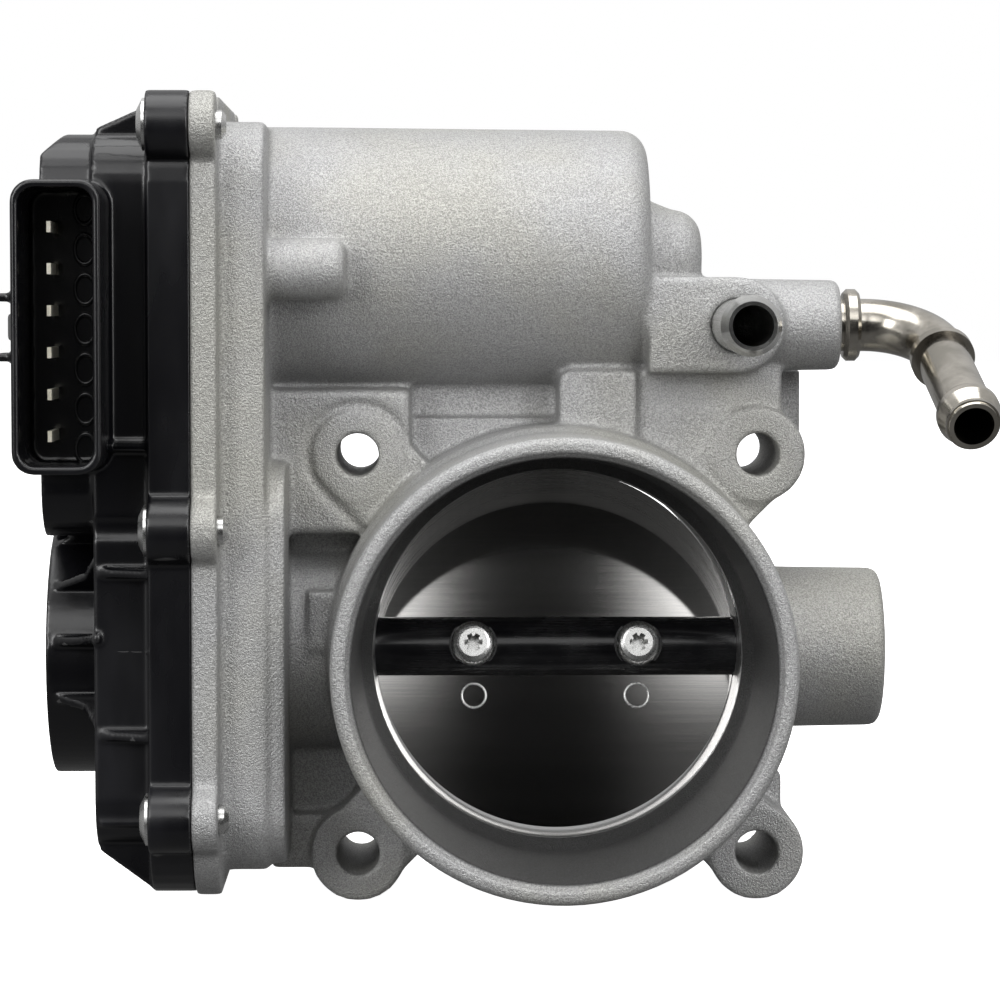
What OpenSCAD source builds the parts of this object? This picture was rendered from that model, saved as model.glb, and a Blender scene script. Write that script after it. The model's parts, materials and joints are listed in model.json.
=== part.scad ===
// Electronic throttle body with a motor, a two-stage gear train and a coolant passage.
//
// +X runs along the throttle shaft away from the gear case, +Y runs downstream into the
// manifold and +Z runs up.  The origin is on the bore axis in the manifold mounting face.
// The throttle stands at its limp-home angle, a little open.

/* [Bore] */
// Diameter of the air bore
bore_d = 60; // [50:1:70]
// Distance from the manifold face to the throttle shaft
mount_depth = 22; // [18:1:30]
// Distance from the throttle shaft to the intake lip
inlet_depth = 44; // [34:1:54]
// Wall of the intake spigot at its lip
lip_wall = 3; // [2:0.5:5]
// How much the intake opens out from the bore to the lip, on the radius
inlet_flare = 3.6; // [1:0.2:6]

/* [Mounting] */
// Distance between bolt holes, square pattern
bolt_pitch = 65.4; // [64:0.2:78]
// Diameter of each bolt hole
bolt_hole_d = 7; // [5:0.5:9]
// Outside diameter of each bolt ear
ear_d = 15.6; // [12:0.2:19]
// Length of each bolt ear from the manifold face
ear_length = 35.8; // [26:0.2:44]

/* [Throttle] */
// Diameter of the throttle shaft
shaft_d = 10; // [8:0.5:12]
// Thickness of the throttle plate
plate_t = 2; // [1:0.25:3]
// Tilt of the plate from square to the bore, at rest
rest_tilt = 12; // [8:1:16]
// Tilt of the plate when the throttle is shut
closed_tilt = 6; // [4:1:8]
// Outside diameter of the closed shaft boss
boss_d = 26.6; // [20:0.2:30]
// Distance from the bore axis to the end of the closed shaft boss
boss_reach = 54; // [48:1:60]

/* [Gear train] */
// Teeth of the motor pinion
pinion_teeth = 11; // [10:1:14]
// Teeth of the large intermediate wheel
wheel_teeth = 61; // [54:1:64]
// Module of the first stage
module_1 = 0.8; // [0.7:0.05:0.9]
// Teeth of the small intermediate wheel
cluster_teeth = 18; // [16:1:20]
// Teeth of the throttle sector, counted on a full circle
sector_teeth = 54; // [48:2:56]
// Module of the second stage
module_2 = 1; // [0.9:0.05:1.1]
// Width of the sector and of the small intermediate wheel
sector_w = 7; // [5:0.5:8]
// Width of the large intermediate wheel
wheel_w = 4; // [3:0.5:5]
// Diameter of the intermediate pin
pin_d = 6; // [4:0.5:7]

/* [Motor] */
// Outside diameter of the motor can
motor_d = 36; // [30:1:38]
// Length of the motor can
motor_length = 60; // [50:1:64]
// Diameter of the motor shaft
motor_shaft_d = 3.2; // [2.5:0.1:4]

/* [Gear case] */
// Distance from the bore axis to the outer face of the gear case floor
case_x = 47; // [44:1:52]
// Thickness of cast walls
wall = 3; // [2:0.25:4]
// Depth of the gear case from its floor to the cover joint
case_depth = 8.5; // [8:0.5:12]
// Width of the flange around the gear case
flange_w = 4; // [3:0.5:6]
// Thickness of that flange
flange_t = 4.2; // [3:0.2:6]

/* [Cover] */
// Thickness of the cover's flange
cover_flange_t = 6.8; // [5:0.2:8]
// Wall of the plastic cover
cover_wall = 2; // [1.6:0.2:3]
// Depth of the motor dome of the cover from the joint
dome_depth = 24; // [20:0.5:28]

/* [Connector] */
// Number of terminals
terminals = 6; // [4:1:6]
// Distance between terminals
terminal_pitch = 6.5; // [5:0.25:6.75]
// Width of the connector shroud
shroud_w = 13.8; // [11:0.2:16]
// Length of the connector shroud
shroud_l = 45.3; // [40:0.1:50]
// How far the shroud stands in front of the cover
shroud_reach = 18.5; // [12:0.5:22]

/* [Coolant] */
// Outside diameter of the hose nipples
hose_d = 8.6; // [7:0.2:10]
// Bore of the hose nipples
hose_bore_d = 6.4; // [4:0.2:7]
// Length of the straight nipple outside the casting
nipple_length = 27; // [20:1:32]
// Radius of the elbow's bend
elbow_r = 11.5; // [10:0.5:16]
// Length of the elbow's straight leg
elbow_leg = 27; // [20:1:32]

/* [Fits] */
// Radial clearance of a running fit
run_gap = 0.05; // [0.02:0.01:0.08]
// Radial clearance between parts that only pass each other
free_gap = 0.3; // [0.2:0.05:0.5]
// Clearance of the shut plate in the bore
plate_gap = 0.07; // [0.04:0.01:0.12]

/* [Hidden] */

$fn = 72;

bore_r = bore_d / 2;
shaft_y = -mount_depth;
lip_y = shaft_y - inlet_depth;
spigot_r = bore_r + inlet_flare + lip_wall;
throat_depth = inlet_depth * 0.27;
bolt_offset = bolt_pitch / 2;

// Gear radii and centre distances.
pinion_r = module_1 * pinion_teeth / 2;
wheel_r = module_1 * wheel_teeth / 2;
cluster_r = module_2 * cluster_teeth / 2;
sector_r = module_2 * sector_teeth / 2;
pin_z = cluster_r + sector_r;
motor_z = pin_z + pinion_r + wheel_r;
addendum = 0.9;
dedendum = 1.3;
backlash = 0.1;
teeth_front = 14;
teeth_rear = 3;

// Stations along the shaft, on the gear side of the bore.
joint_x = -(case_x + wall + case_depth);
floor_x = -(case_x + wall);
hub_x = -(case_x + 0.8);
sector_x1 = joint_x - 1;
sector_x0 = sector_x1 - sector_w;
wheel_x1 = sector_x0 - 0.7;
wheel_x0 = wheel_x1 - wheel_w;
hub_end_x = wheel_x0 - 0.6;
cover_mid_x = wheel_x0 - 1 - cover_wall;
dome_x = joint_x - dome_depth;

// Outline of the gear case, in Y and Z.
gear_room = sector_r + addendum * module_2 + 1.1;
case_front = shaft_y - gear_room - wall + 0.5;
case_rear = shaft_y + gear_room + wall - 0.5;
case_low = -gear_room - wall - 1.9;
cover_low = -gear_room - 1;
motor_r = motor_d / 2;
motor_shell_r = motor_r + free_gap + wall + 0.2;
case_top = motor_z + motor_shell_r;
case_corner = 10;
cover_top = case_top - 1.5;
dome_top = case_top - 2;
case_mid_y = (case_front + case_rear) / 2;
case_mid_z = (case_low + case_top) / 2;
case_w = case_rear - case_front;
case_h = case_top - case_low;
upper_z0 = pin_z - 16;
dome_w = case_w - 6;

// Motor stations.
can_x0 = floor_x;
can_x1 = can_x0 + motor_length;
motor_shell_x = can_x1 + wall + 2;
rear_boss_x = motor_shell_x + 9.2;
motor_boss_r = 5.5;
screw_arm = motor_r + 6;
motor_screw_z = motor_z - 2;

// Rivets through the two flanges.
rivet_z = [case_top - 1.1, case_low + 0.462 * case_h, case_low + 9.8];
rivet_r = 2.1;
rivet_tail_r = rivet_r + 0.2;
rivet_front = case_front - rivet_tail_r - 0.15;
rivet_rear = case_rear + rivet_tail_r + 0.15;
lug_r = 5.4;

// Coolant passage.
coolant_z = motor_z - 11;
coolant_y = shaft_y - 8;
nipple_x = bolt_offset - 3.7;
pad_y = shaft_y - 17.5;
pad_r = 7.8;
coolant_boss_r = 7.4;
coolant_boss_x = 46.3;
seat_depth = 7;
elbow_turn = 86;
elbow_drop = 24.5;

// Connector.
shroud_x = dome_x + 4.2;
shroud_z = motor_z - 11.2;
shroud_wall = 1.25;
dome_front = case_front + 3;
shroud_y0 = dome_front - shroud_reach;
terminal_x = dome_x + 2.6;
terminal_z = shroud_z - 0.7;
terminal_h = 1.7;
terminal_t = 0.64;
terminal_recess = 6.5;
lock_rib_t = 1.3;
lock_gap = 9.2;
lock_reach = 2.6;
lock_depth = 9;
shroud_floor_y = dome_front - 0.5;

sensor_dome_x = dome_x - 0.4;
dome_chamfer = 3.5;
sensor_dome_r = 20.6;

// Bearings.
bearing_w = 7;
bearing_r = 11;
ball_r = 1.9;
ball_circle_r = (shaft_d / 2 + bearing_r) / 2;
balls = 9;
needle_w = 12;
needle_r = 1;
needles = 14;
needle_cup_r = shaft_d / 2 + 2 * needle_r + 1;
shaft_end_x = bore_r + 16;
left_boss_r = 17;
seal_w = 3;

aluminium = [0.66, 0.66, 0.64];
steel = [0.72, 0.72, 0.73];
black_plastic = [0.07, 0.07, 0.08];

// ---- Helpers ----

// Draws a (y, z) outline as a slab between two stations on X.
module slab_x(x0, x1) { translate([x0, 0, 0]) rotate([90, 0, 90]) linear_extrude(x1 - x0) children(); }

// Draws an (x, z) outline as a slab between two stations on Y.
module slab_y(y0, y1) { translate([0, y1, 0]) rotate([90, 0, 0]) linear_extrude(y1 - y0) children(); }

// Draws an (x, y) outline as a slab between two heights.
module slab_z(z0, z1) { translate([0, 0, z0]) linear_extrude(z1 - z0) children(); }

// A round bar along X.
module rod_x(x0, x1, y, z, r) { translate([x0, y, z]) rotate([0, 90, 0]) cylinder(h = x1 - x0, r = r); }

// A round bar along Y.
module rod_y(y0, y1, x, z, r) { translate([x, y1, z]) rotate([90, 0, 0]) cylinder(h = y1 - y0, r = r); }

// A block bent around X: between two stations and two radii, over an angle.
module bent_x(x0, x1, r0, r1, angle) {
    rotate([90, 0, 90]) rotate([0, 0, -angle / 2]) translate([0, 0, x0])
        rotate_extrude(angle = angle) translate([r0, 0]) square([r1 - r0, x1 - x0]);
}

// Places a body turned around X, whose outline is given as (radius, station on X).
module turned_x(y, z) { translate([0, y, z]) rotate([0, 90, 0]) rotate_extrude() children(); }

// A block between two corners.
module block(low, high) { translate(low) cube(high - low); }

// Points of an arc from angle a0 to a1.
function arc(cx, cy, r, a0, a1, n = 8) =
    [for (i = [0:n]) let (a = a0 + (a1 - a0) * i / n) [cx + r * cos(a), cy + r * sin(a)]];

// Points of a rectangle with round corners around a centre.
function round_rect(cx, cy, w, h, r) = concat(
    arc(cx + w / 2 - r, cy + h / 2 - r, r, 0, 90),
    arc(cx - w / 2 + r, cy + h / 2 - r, r, 90, 180),
    arc(cx - w / 2 + r, cy - h / 2 + r, r, 180, 270),
    arc(cx + w / 2 - r, cy - h / 2 + r, r, 270, 360));

// The gear case outline grown by an amount.
module case_outline(grow) {
    polygon(round_rect(case_mid_y, case_mid_z, case_w + 2 * grow, case_h + 2 * grow, case_corner + grow));
}

// Repeats a child at each rivet, in Y and Z.
module at_rivets() {
    for (y = [rivet_front, rivet_rear], z = rivet_z) translate([0, y, z]) children();
}

// Repeats a child at each bolt hole.
module at_bolts() {
    for (sx = [-1, 1], sz = [-1, 1]) translate([sx * bolt_offset, 0, sz * bolt_offset]) children();
}

// ---- Gear teeth ----

pressure = 20;
function roll(rb, r) = r <= rb ? 0 : sqrt(pow(r / rb, 2) - 1) * 180 / PI - acos(rb / r);
function half_tooth(m, z, r) =
    let (rp = m * z / 2, rb = rp * cos(pressure))
    90 / z - backlash / rp * 90 / PI + roll(rb, rp) - roll(rb, r);
function gear_point(r, a) = [-r * sin(a), r * cos(a)];

// Outline points of the teeth from first to last; a tooth points along turn + k * 360 / z.
function tooth_points(m, z, turn, first, last) =
    let (rp = m * z / 2, ro = rp + addendum * m, ri = rp - dedendum * m)
    [for (k = [first:last])
        let (a = turn + k * 360 / z)
        for (p = [[ri, -1], [rp - 0.55 * m, -1], [rp, -1], [rp + 0.5 * m, -1], [ro, -1],
                  [ro, 1], [rp + 0.5 * m, 1], [rp, 1], [rp - 0.55 * m, 1], [ri, 1]])
        gear_point(p[0], a + p[1] * min(half_tooth(m, z, p[0]), 170 / z))];

module full_gear(m, z, turn) { polygon(tooth_points(m, z, turn, 0, z - 1)); }

// ---- Body shapes ----

// Solid of the intake spigot and the manifold ring.
module barrel_solid() {
    rotate([90, 0, 0]) rotate_extrude() polygon(concat(
        [[0, 0], [spigot_r + 2.4, 0], [spigot_r + 2.4, 9], [spigot_r + 1.2, 11]],
        [[spigot_r + 0.9, mount_depth + inlet_depth - 24], [spigot_r, mount_depth + inlet_depth - 22]],
        arc(spigot_r - 1.2, mount_depth + inlet_depth - 1.2, 1.2, 0, 90, 5),
        [[0, mount_depth + inlet_depth]]));
}

// Air passage: parallel past the plate, a step, then a slow flare to the lip.
module air_passage() {
    flare_r = bore_r + inlet_flare;
    top = mount_depth + inlet_depth;
    step = mount_depth + throat_depth;
    rotate([90, 0, 0]) cylinder(h = 3 * top, r = bore_r, center = true);
    rotate([90, 0, 0]) rotate_extrude() polygon([
        [0, step], [bore_r, step], [bore_r + 0.6 * inlet_flare, step + 4],
        [flare_r - 0.3, top - 1.4], [flare_r + 0.5, top - 0.5], [flare_r + 1, top + 1], [0, top + 1]]);
}

// One bolt ear with its web towards the barrel, drawn at the bolt hole.
module ear(sx, sz) {
    web = ear_d - 1.2;
    rod_y(-ear_length, 0, 0, 0, ear_d / 2);
    rotate([0, atan2(sx, sz) - 90, 0]) block([-15, -ear_length + 0.6, -web / 2], [0, 0, web / 2]);
}

// The motor housing with its rounded end and the rear bearing boss.
module motor_shell() {
    r = motor_shell_r;
    turned_x(shaft_y, motor_z) polygon(concat(
        [[0, floor_x], [r + 0.3, floor_x]],
        arc(r - 4.6, motor_shell_x - 4.3, 4.3, 0, 90),
        [[9.9, motor_shell_x], [8.2, motor_shell_x + 4.2]],
        arc(3.4, rear_boss_x - 4.7, 4.7, 0, 90),
        [[0, rear_boss_x]]));
}

// Flat castings between the motor housing, the bolt ears and the barrel.
module web_plates() {
    low = bolt_offset - 12.5;
    high = coolant_z - 7.4;
    // back wall of the recess under the motor
    block([floor_x + 1, shaft_y - 5, low], [bolt_offset - 5, shaft_y + 9, motor_z - 12]);
    block([bolt_offset - 6, shaft_y - 5, bolt_offset - 3], [bolt_offset + 4, shaft_y + 9, motor_z - 12]);
    // plate behind the bolt ear beside the gear case
    block([floor_x + 1, shaft_y - 12.4, low], [-bolt_offset + 8.6, shaft_y + 9, motor_z - 21.4]);
    // ledge on the back wall
    block([-bolt_offset + 8, shaft_y - 7.2, bolt_offset - 5], [1, shaft_y, bolt_offset + 5.9]);
    // block beside the recess and the plate behind the coolant ear
    block([12.6, shaft_y - 12.6, low], [bolt_offset - 5, shaft_y + 9, high]);
    block([bolt_offset - 6, shaft_y - 12.6, bolt_offset - 3], [bolt_offset + 4, shaft_y + 9, high]);
    // plate that joins the coolant ear to that block
    block([12.2, -ear_length + 0.95, bolt_offset - 9], [bolt_offset - 1, -2, bolt_offset + ear_d / 2 - 0.4]);
    slab_y(shaft_y - 13.9, shaft_y) polygon(concat([[12.9, low + 8], [12.9, high]],
        arc(1.9, high - 1.8, 1.8, 90, 180, 5), [[0.1, low + 8]]));
    // column behind the coolant ear
    block([bolt_offset + 3.5, shaft_y - 2, bolt_offset], [bolt_offset + 8, shaft_y + 9, high]);
}

// Pad and boss that carry the coolant passage.
module coolant_body() {
    slab_y(pad_y, shaft_y + 4) polygon(concat([[motor_shell_x - 0.4, coolant_z - pad_r]],
        arc(nipple_x, coolant_z, pad_r, -90, 90, 14), [[motor_shell_x - 0.4, coolant_z + pad_r]]));
    turned_x(coolant_y, coolant_z) polygon([[0, nipple_x], [coolant_boss_r + 0.25, nipple_x],
        [coolant_boss_r, coolant_boss_x - 0.8], [coolant_boss_r - 0.8, coolant_boss_x], [0, coolant_boss_x]]);
    block([motor_shell_x - 12, shaft_y - 8, motor_z - 22], [motor_shell_x + 4, shaft_y + 5, coolant_z + 4]);
}

// Outside of the gear case: a shallow upper box, a deeper lower box, ribs and the flange.
module case_solid() {
    slab_x(joint_x, -case_x) case_outline(0);
    slab_x(joint_x, joint_x + flange_t) union() {
        case_outline(flange_w);
        for (y = [rivet_front, rivet_rear], z = rivet_z) translate([y, z]) circle(r = lug_r);
    }
    // deeper box around the throttle gear
    slab_x(floor_x, -case_x + wall) polygon(round_rect(case_mid_y, (case_low + pin_z - 4.4) / 2 + 0.5,
        case_w - 2, pin_z - 4.4 - case_low - 1, case_corner - 1));
    // bosses of the two motor screws
    for (s = [-1, 1]) turned_x(shaft_y + s * screw_arm, motor_screw_z) polygon([[0, floor_x], [5, floor_x],
        [5, -case_x + 11.2], [4, -case_x + 12.6], [0, -case_x + 12.6]]);
}

// Shaft bosses on both sides of the bore.
module shaft_bosses() {
    r = boss_d / 2;
    turned_x(shaft_y, 0) polygon([[0, -case_x], [left_boss_r + 0.5, -case_x], [left_boss_r, -bore_r + 4],
        [0, -bore_r + 4]]);
    turned_x(shaft_y, 0) polygon(concat([[0, bore_r - 4], [r + 0.3, bore_r - 4]],
        arc(r - 1.6, boss_reach - 1.5, 1.5, 0, 90, 5), [[0, boss_reach]]));
    // small raised pad on the gear side boss and foot webs to the lower ears
    block([-bolt_offset - 8, shaft_y - left_boss_r - 0.8, 1], [-bolt_offset, shaft_y - 8, 10.6]);
    block([-case_x, -ear_length + 4, -bolt_offset - 3], [-bolt_offset, 0, -bolt_offset + 6]);
    block([-case_x, shaft_y - 6, -bolt_offset], [-bore_r + 4, shaft_y + 9, bolt_offset]);
    block([bore_r - 4, shaft_y - 4, -bolt_offset], [bolt_offset + 5, shaft_y + 9, -bolt_offset + 12]);
}

// Rooms inside the gear case.
module case_room() {
    slab_x(joint_x - 1, floor_x) case_outline(-wall + 0.5);
    slab_x(floor_x - 1, -case_x) polygon(round_rect(case_mid_y, (case_low + pin_z - 6) / 2 + 0.5,
        case_w - 2 * wall, pin_z - 6 - case_low - 2 * wall + 1, case_corner - wall));
}

// Bores for the shaft, its bearings, seals and end plug.
module shaft_bores() {
    rod_x(joint_x, shaft_end_x + 1, shaft_y, 0, shaft_d / 2 + run_gap);
    rod_x(-case_x - 1, -case_x + bearing_w, shaft_y, 0, bearing_r);
    rod_x(-case_x + bearing_w - 1, -case_x + bearing_w + 0.6, shaft_y, 0, bearing_r - 2);
    rod_x(-bore_r - 5 - seal_w, -bore_r - 5, shaft_y, 0, shaft_d / 2 + 3);
    rod_x(-case_x + bearing_w, -bore_r - 5, shaft_y, 0, shaft_d / 2 + 3);
    rod_x(bore_r + 2.5, bore_r + 2.5 + seal_w, shaft_y, 0, shaft_d / 2 + 3);
    rod_x(bore_r + 2.5, boss_reach + 1, shaft_y, 0, needle_cup_r);
    rod_x(boss_reach - 3.4, boss_reach + 1, shaft_y, 0, needle_cup_r + 1.2);
}

module throttle_housing() {
    color(aluminium) difference() {
        union() {
            barrel_solid();
            for (sx = [-1, 1], sz = [-1, 1]) translate([sx * bolt_offset, 0, sz * bolt_offset]) ear(sx, sz);
            shaft_bosses();
            motor_shell();
            web_plates();
            coolant_body();
            case_solid();
        }
        air_passage();
        case_room();
        shaft_bores();
        at_bolts() rotate([90, 0, 0]) cylinder(h = 200, r = bolt_hole_d / 2, center = true);
        // motor bore and the pocket of its rear bearing boss
        rod_x(floor_x - 1, can_x1 + 1, shaft_y, motor_z, motor_r + free_gap);
        rod_x(can_x1, can_x1 + 7.5, shaft_y, motor_z, motor_boss_r + free_gap);
        for (s = [-1, 1]) rod_x(floor_x - 1, -case_x + 9, shaft_y + s * screw_arm, motor_screw_z, 1.7);
        rod_x(floor_x - 1, -case_x + 4, shaft_y, pin_z, pin_d / 2);
        // seal groove of the manifold face
        rotate([90, 0, 0]) difference() {
            translate([0, 0, -1]) cylinder(h = 3.4, r = bore_r + 6.4);
            translate([0, 0, -2]) cylinder(h = 8, r = bore_r + 3.2);
        }
        // seal groove of the cover joint
        slab_x(joint_x - 1, joint_x + 1.4) difference() {
            case_outline(-0.6);
            case_outline(-1.9);
        }
        translate([joint_x - 1, 0, 0]) at_rivets() rotate([0, 90, 0]) cylinder(h = 12, r = rivet_r);
        // coolant passages
        rod_y(pad_y - 1, coolant_y, nipple_x, coolant_z, hose_bore_d / 2);
        rod_y(pad_y - 1, pad_y + seat_depth, nipple_x, coolant_z, hose_d / 2);
        rod_x(nipple_x, coolant_boss_x + 1, coolant_y, coolant_z, hose_bore_d / 2);
        rod_x(coolant_boss_x - seat_depth, coolant_boss_x + 1, coolant_y, coolant_z, hose_d / 2);
        // seats of the stop pins
        at_stops() rod_x(floor_x - 1, -case_x + wall - 0.6, 0, 0, stop_r);
    }
}

// ---- Stops and spring ----

stop_r = 2;
stop_reach = 21;
stop_clear = 0.35;
tooth_step = 360 / sector_teeth;
stop_lead = asin((stop_r + stop_clear) / stop_reach);
shut_stop = (teeth_front + 0.5) * tooth_step + rest_tilt - closed_tilt + stop_lead;
open_stop = -(teeth_rear + 0.5) * tooth_step - (90 - rest_tilt) - stop_lead;
stop_tip_x = sector_x0 + 1;

hub_r = 9.4;
spring_wire = 2;
spring_coil_r = hub_r + 1 + spring_wire / 2 + 0.6;
spring_turns = 3;
spring_x0 = sector_x1 + 1.1 + spring_wire / 2;
spring_x1 = -case_x - 1 - spring_wire / 2;

// Pins that the edges of the sector meet when the throttle is shut and wide open.
module at_stops() {
    for (a = [shut_stop, open_stop])
        translate([0, shaft_y - stop_reach * sin(a), stop_reach * cos(a)]) children();
}

module stop_pins() {
    color(steel) at_stops() turned_x(0, 0) polygon([[0, stop_tip_x], [stop_r - 0.5, stop_tip_x],
        [stop_r, stop_tip_x + 0.6], [stop_r, -case_x + wall - 0.6], [0, -case_x + wall - 0.6]]);
}

// Round wire swept along rings of points: ring i is centred on path[i] and its axes are
// the radial direction and the shaft direction.
module spring_wire_body(path) {
    sides = 10;
    rings = len(path);
    points = [for (p = path) for (s = [0:sides - 1])
        let (a = 360 * s / sides)
        [p[0] + spring_wire / 2 * sin(a),
         shaft_y + (p[1] + spring_wire / 2 * cos(a)) * sin(p[2]),
         (p[1] + spring_wire / 2 * cos(a)) * cos(p[2])]];
    sidewalls = [for (i = [0:rings - 2]) for (s = [0:sides - 1])
        let (t = (s + 1) % sides) [i * sides + s, i * sides + t, (i + 1) * sides + t, (i + 1) * sides + s]];
    ends = [[for (s = [sides - 1:-1:0]) s], [for (s = [0:sides - 1]) (rings - 1) * sides + s]];
    polyhedron(points = points, faces = concat(sidewalls, ends), convexity = 6);
}

module return_spring() {
    steps = spring_turns * 28;
    color([0.5, 0.5, 0.52]) spring_wire_body([for (i = [0:steps])
        [spring_x0 + (spring_x1 - spring_x0) * i / steps, spring_coil_r, 360 * spring_turns * i / steps]]);
}

// ---- Throttle assembly ----

module throttle_shaft() {
    slot_l = bore_d - 1.2;
    color([0.05, 0.05, 0.06]) difference() {
        union() {
            rod_x(wheel_x0 + 1.2, shaft_end_x, shaft_y, 0, shaft_d / 2);
        }
        translate([0, shaft_y, 0]) rotate([-rest_tilt, 0, 0]) {
            block([-bore_r + plate_gap, -plate_t / 2, -shaft_d], [bore_r - plate_gap, plate_t / 2, shaft_d]);
            for (s = [-1, 1]) translate([s * screw_x, 0, 0]) rotate([90, 0, 0]) {
                cylinder(h = shaft_d + 2, r = 1.75, center = true);
                translate([0, 0, shaft_d / 2 - 0.9]) cylinder(h = 4, r = 4);
            }
        }
    }
}

screw_x = 13.7;

module throttle_plate() {
    color([0.62, 0.63, 0.64]) translate([0, shaft_y, 0]) rotate([-rest_tilt, 0, 0]) difference() {
        intersection() {
            block([-bore_r, -plate_t / 2, -bore_d], [bore_r, plate_t / 2, bore_d]);
            rotate([closed_tilt, 0, 0]) rotate([90, 0, 0])
                cylinder(h = bore_d, r = bore_r - plate_gap, center = true, $fn = 144);
        }
        for (s = [-1, 1]) translate([s * screw_x, 0, 0]) rotate([90, 0, 0])
            cylinder(h = 10, r = 1.75, center = true);
    }
}

module plate_screws() {
    color(steel) translate([0, shaft_y, 0]) rotate([-rest_tilt, 0, 0]) for (s = [-1, 1])
        translate([s * screw_x, 0, 0]) rotate([90, 0, 0]) difference() {
            rotate_extrude() polygon(concat(
                [[0, -shaft_d / 2 + 0.4], [1.3, -shaft_d / 2 + 0.4], [1.6, -shaft_d / 2 + 0.8],
                 [1.6, shaft_d / 2 - 0.9], [3.65, shaft_d / 2 - 0.9], [3.65, shaft_d / 2 + 0.3]],
                arc(2.2, shaft_d / 2 + 0.3, 1.45, 0, 84, 6), [[0, shaft_d / 2 + 1.75]]));
            translate([0, 0, shaft_d / 2 + 0.3]) for (a = [0, 60, 120]) rotate([0, 0, a])
                cube([3, 0.85, 4], center = true);
            translate([0, 0, shaft_d / 2 - 1.2]) cylinder(h = 5, r = 1.05);
        }
}

module throttle_gear() {
    first = -teeth_rear;
    edge = 0.5 * tooth_step;
    root_r = sector_r - dedendum * module_2;
    color([0.82, 0.8, 0.74]) difference() {
        union() {
            rod_x(hub_end_x, hub_x, shaft_y, 0, hub_r);
            rod_x(sector_x0, sector_x1, shaft_y, 0, hub_r + 2.2);
            // toothed sector with a thinner web inside its rim
            difference() {
                slab_x(sector_x0, sector_x1) translate([shaft_y, 0]) polygon(concat(
                    [[0, 0], gear_point(root_r, first * tooth_step - edge)],
                    tooth_points(module_2, sector_teeth, 0, first, teeth_front),
                    [gear_point(root_r, teeth_front * tooth_step + edge)]));
                slab_x(sector_x0 - 1, sector_x0 + 2.2) translate([shaft_y, 0]) intersection() {
                    difference() {
                        circle(r = root_r - 3);
                        circle(r = hub_r + 1);
                    }
                    polygon(concat([[0, 0]], [for (a = [-3:3]) gear_point(sector_r * 1.2,
                        (teeth_front - teeth_rear) / 2 * tooth_step
                        + a * ((teeth_front + teeth_rear) * tooth_step - 12) / 6)]));
                }
            }
        }
        rod_x(hub_end_x - 1, hub_x + 1, shaft_y, 0, shaft_d / 2);
        rod_x(hub_end_x - 1, sector_x0 + 1.5, shaft_y, 0, hub_r - 1.6);
    }
}

module gear_nut() {
    color(steel) difference() {
        rod_x(sector_x0 - 2.6, sector_x0 + 1.5, shaft_y, 0, shaft_d / 2 + 1.4, $fn = 6);
        rod_x(sector_x0 - 3, sector_x0 + 2, shaft_y, 0, shaft_d / 2);
    }
}

module sensor_magnets() {
    color([0.2, 0.2, 0.22]) for (s = [0, 180]) translate([0, shaft_y, 0]) rotate([s + 90, 0, 0])
        bent_x(hub_end_x + 0.2, hub_end_x + 2.6, shaft_d / 2 + 0.2, hub_r - 1.6, 110);
}

// ---- Bearings and seals ----

// A bearing ring with its ball groove, between two radii.
module bearing_ring(r0, r1) {
    difference() {
        turned_x(shaft_y, 0) difference() {
            translate([r0, -case_x + 0.1]) square([r1 - r0, bearing_w - 0.2]);
            translate([ball_circle_r, -case_x + bearing_w / 2]) circle(r = ball_r + 0.04);
        }
    }
}

module bearing_inner_ring() { color(steel) bearing_ring(shaft_d / 2, ball_circle_r - 1.1); }

module bearing_outer_ring() { color(steel) bearing_ring(ball_circle_r + 1.1, bearing_r); }

module bearing_balls() {
    color([0.85, 0.85, 0.86]) for (i = [0:balls - 1]) translate([-case_x + bearing_w / 2, shaft_y, 0])
        rotate([i * 360 / balls, 0, 0]) translate([0, 0, ball_circle_r]) sphere(r = ball_r);
}

module needle_cup() {
    x0 = bore_r + 2.5 + seal_w + 0.6;
    color([0.6, 0.6, 0.55]) difference() {
        rod_x(x0, x0 + needle_w, shaft_y, 0, needle_cup_r);
        rod_x(x0 + 0.8, x0 + needle_w - 0.8, shaft_y, 0, shaft_d / 2 + 2 * needle_r + 2 * run_gap);
        rod_x(x0 - 1, x0 + needle_w + 1, shaft_y, 0, shaft_d / 2 + 0.8);
    }
}

module needle_rollers() {
    x0 = bore_r + 2.5 + seal_w + 0.6;
    color(steel) for (i = [0:needles - 1]) translate([x0 + 1.2, shaft_y, 0])
        rotate([i * 360 / needles, 0, 0]) translate([0, 0, shaft_d / 2 + needle_r + run_gap])
            rotate([0, 90, 0]) cylinder(h = needle_w - 2.4, r = needle_r, $fn = 16);
}

module shaft_seals() {
    color([0.12, 0.1, 0.1]) for (x0 = [-bore_r - 5 - seal_w, bore_r + 2.5]) difference() {
        rod_x(x0, x0 + seal_w, shaft_y, 0, shaft_d / 2 + 3);
        rod_x(x0 - 1, x0 + seal_w + 1, shaft_y, 0, shaft_d / 2 + run_gap);
    }
}

module shaft_end_plug() {
    color(steel) difference() {
        rod_x(boss_reach - 3.4, boss_reach - 0.6, shaft_y, 0, needle_cup_r + 1.2);
        rod_x(boss_reach - 2, boss_reach, shaft_y, 0, needle_cup_r - 0.4);
    }
}

// ---- Intermediate gear ----

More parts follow.
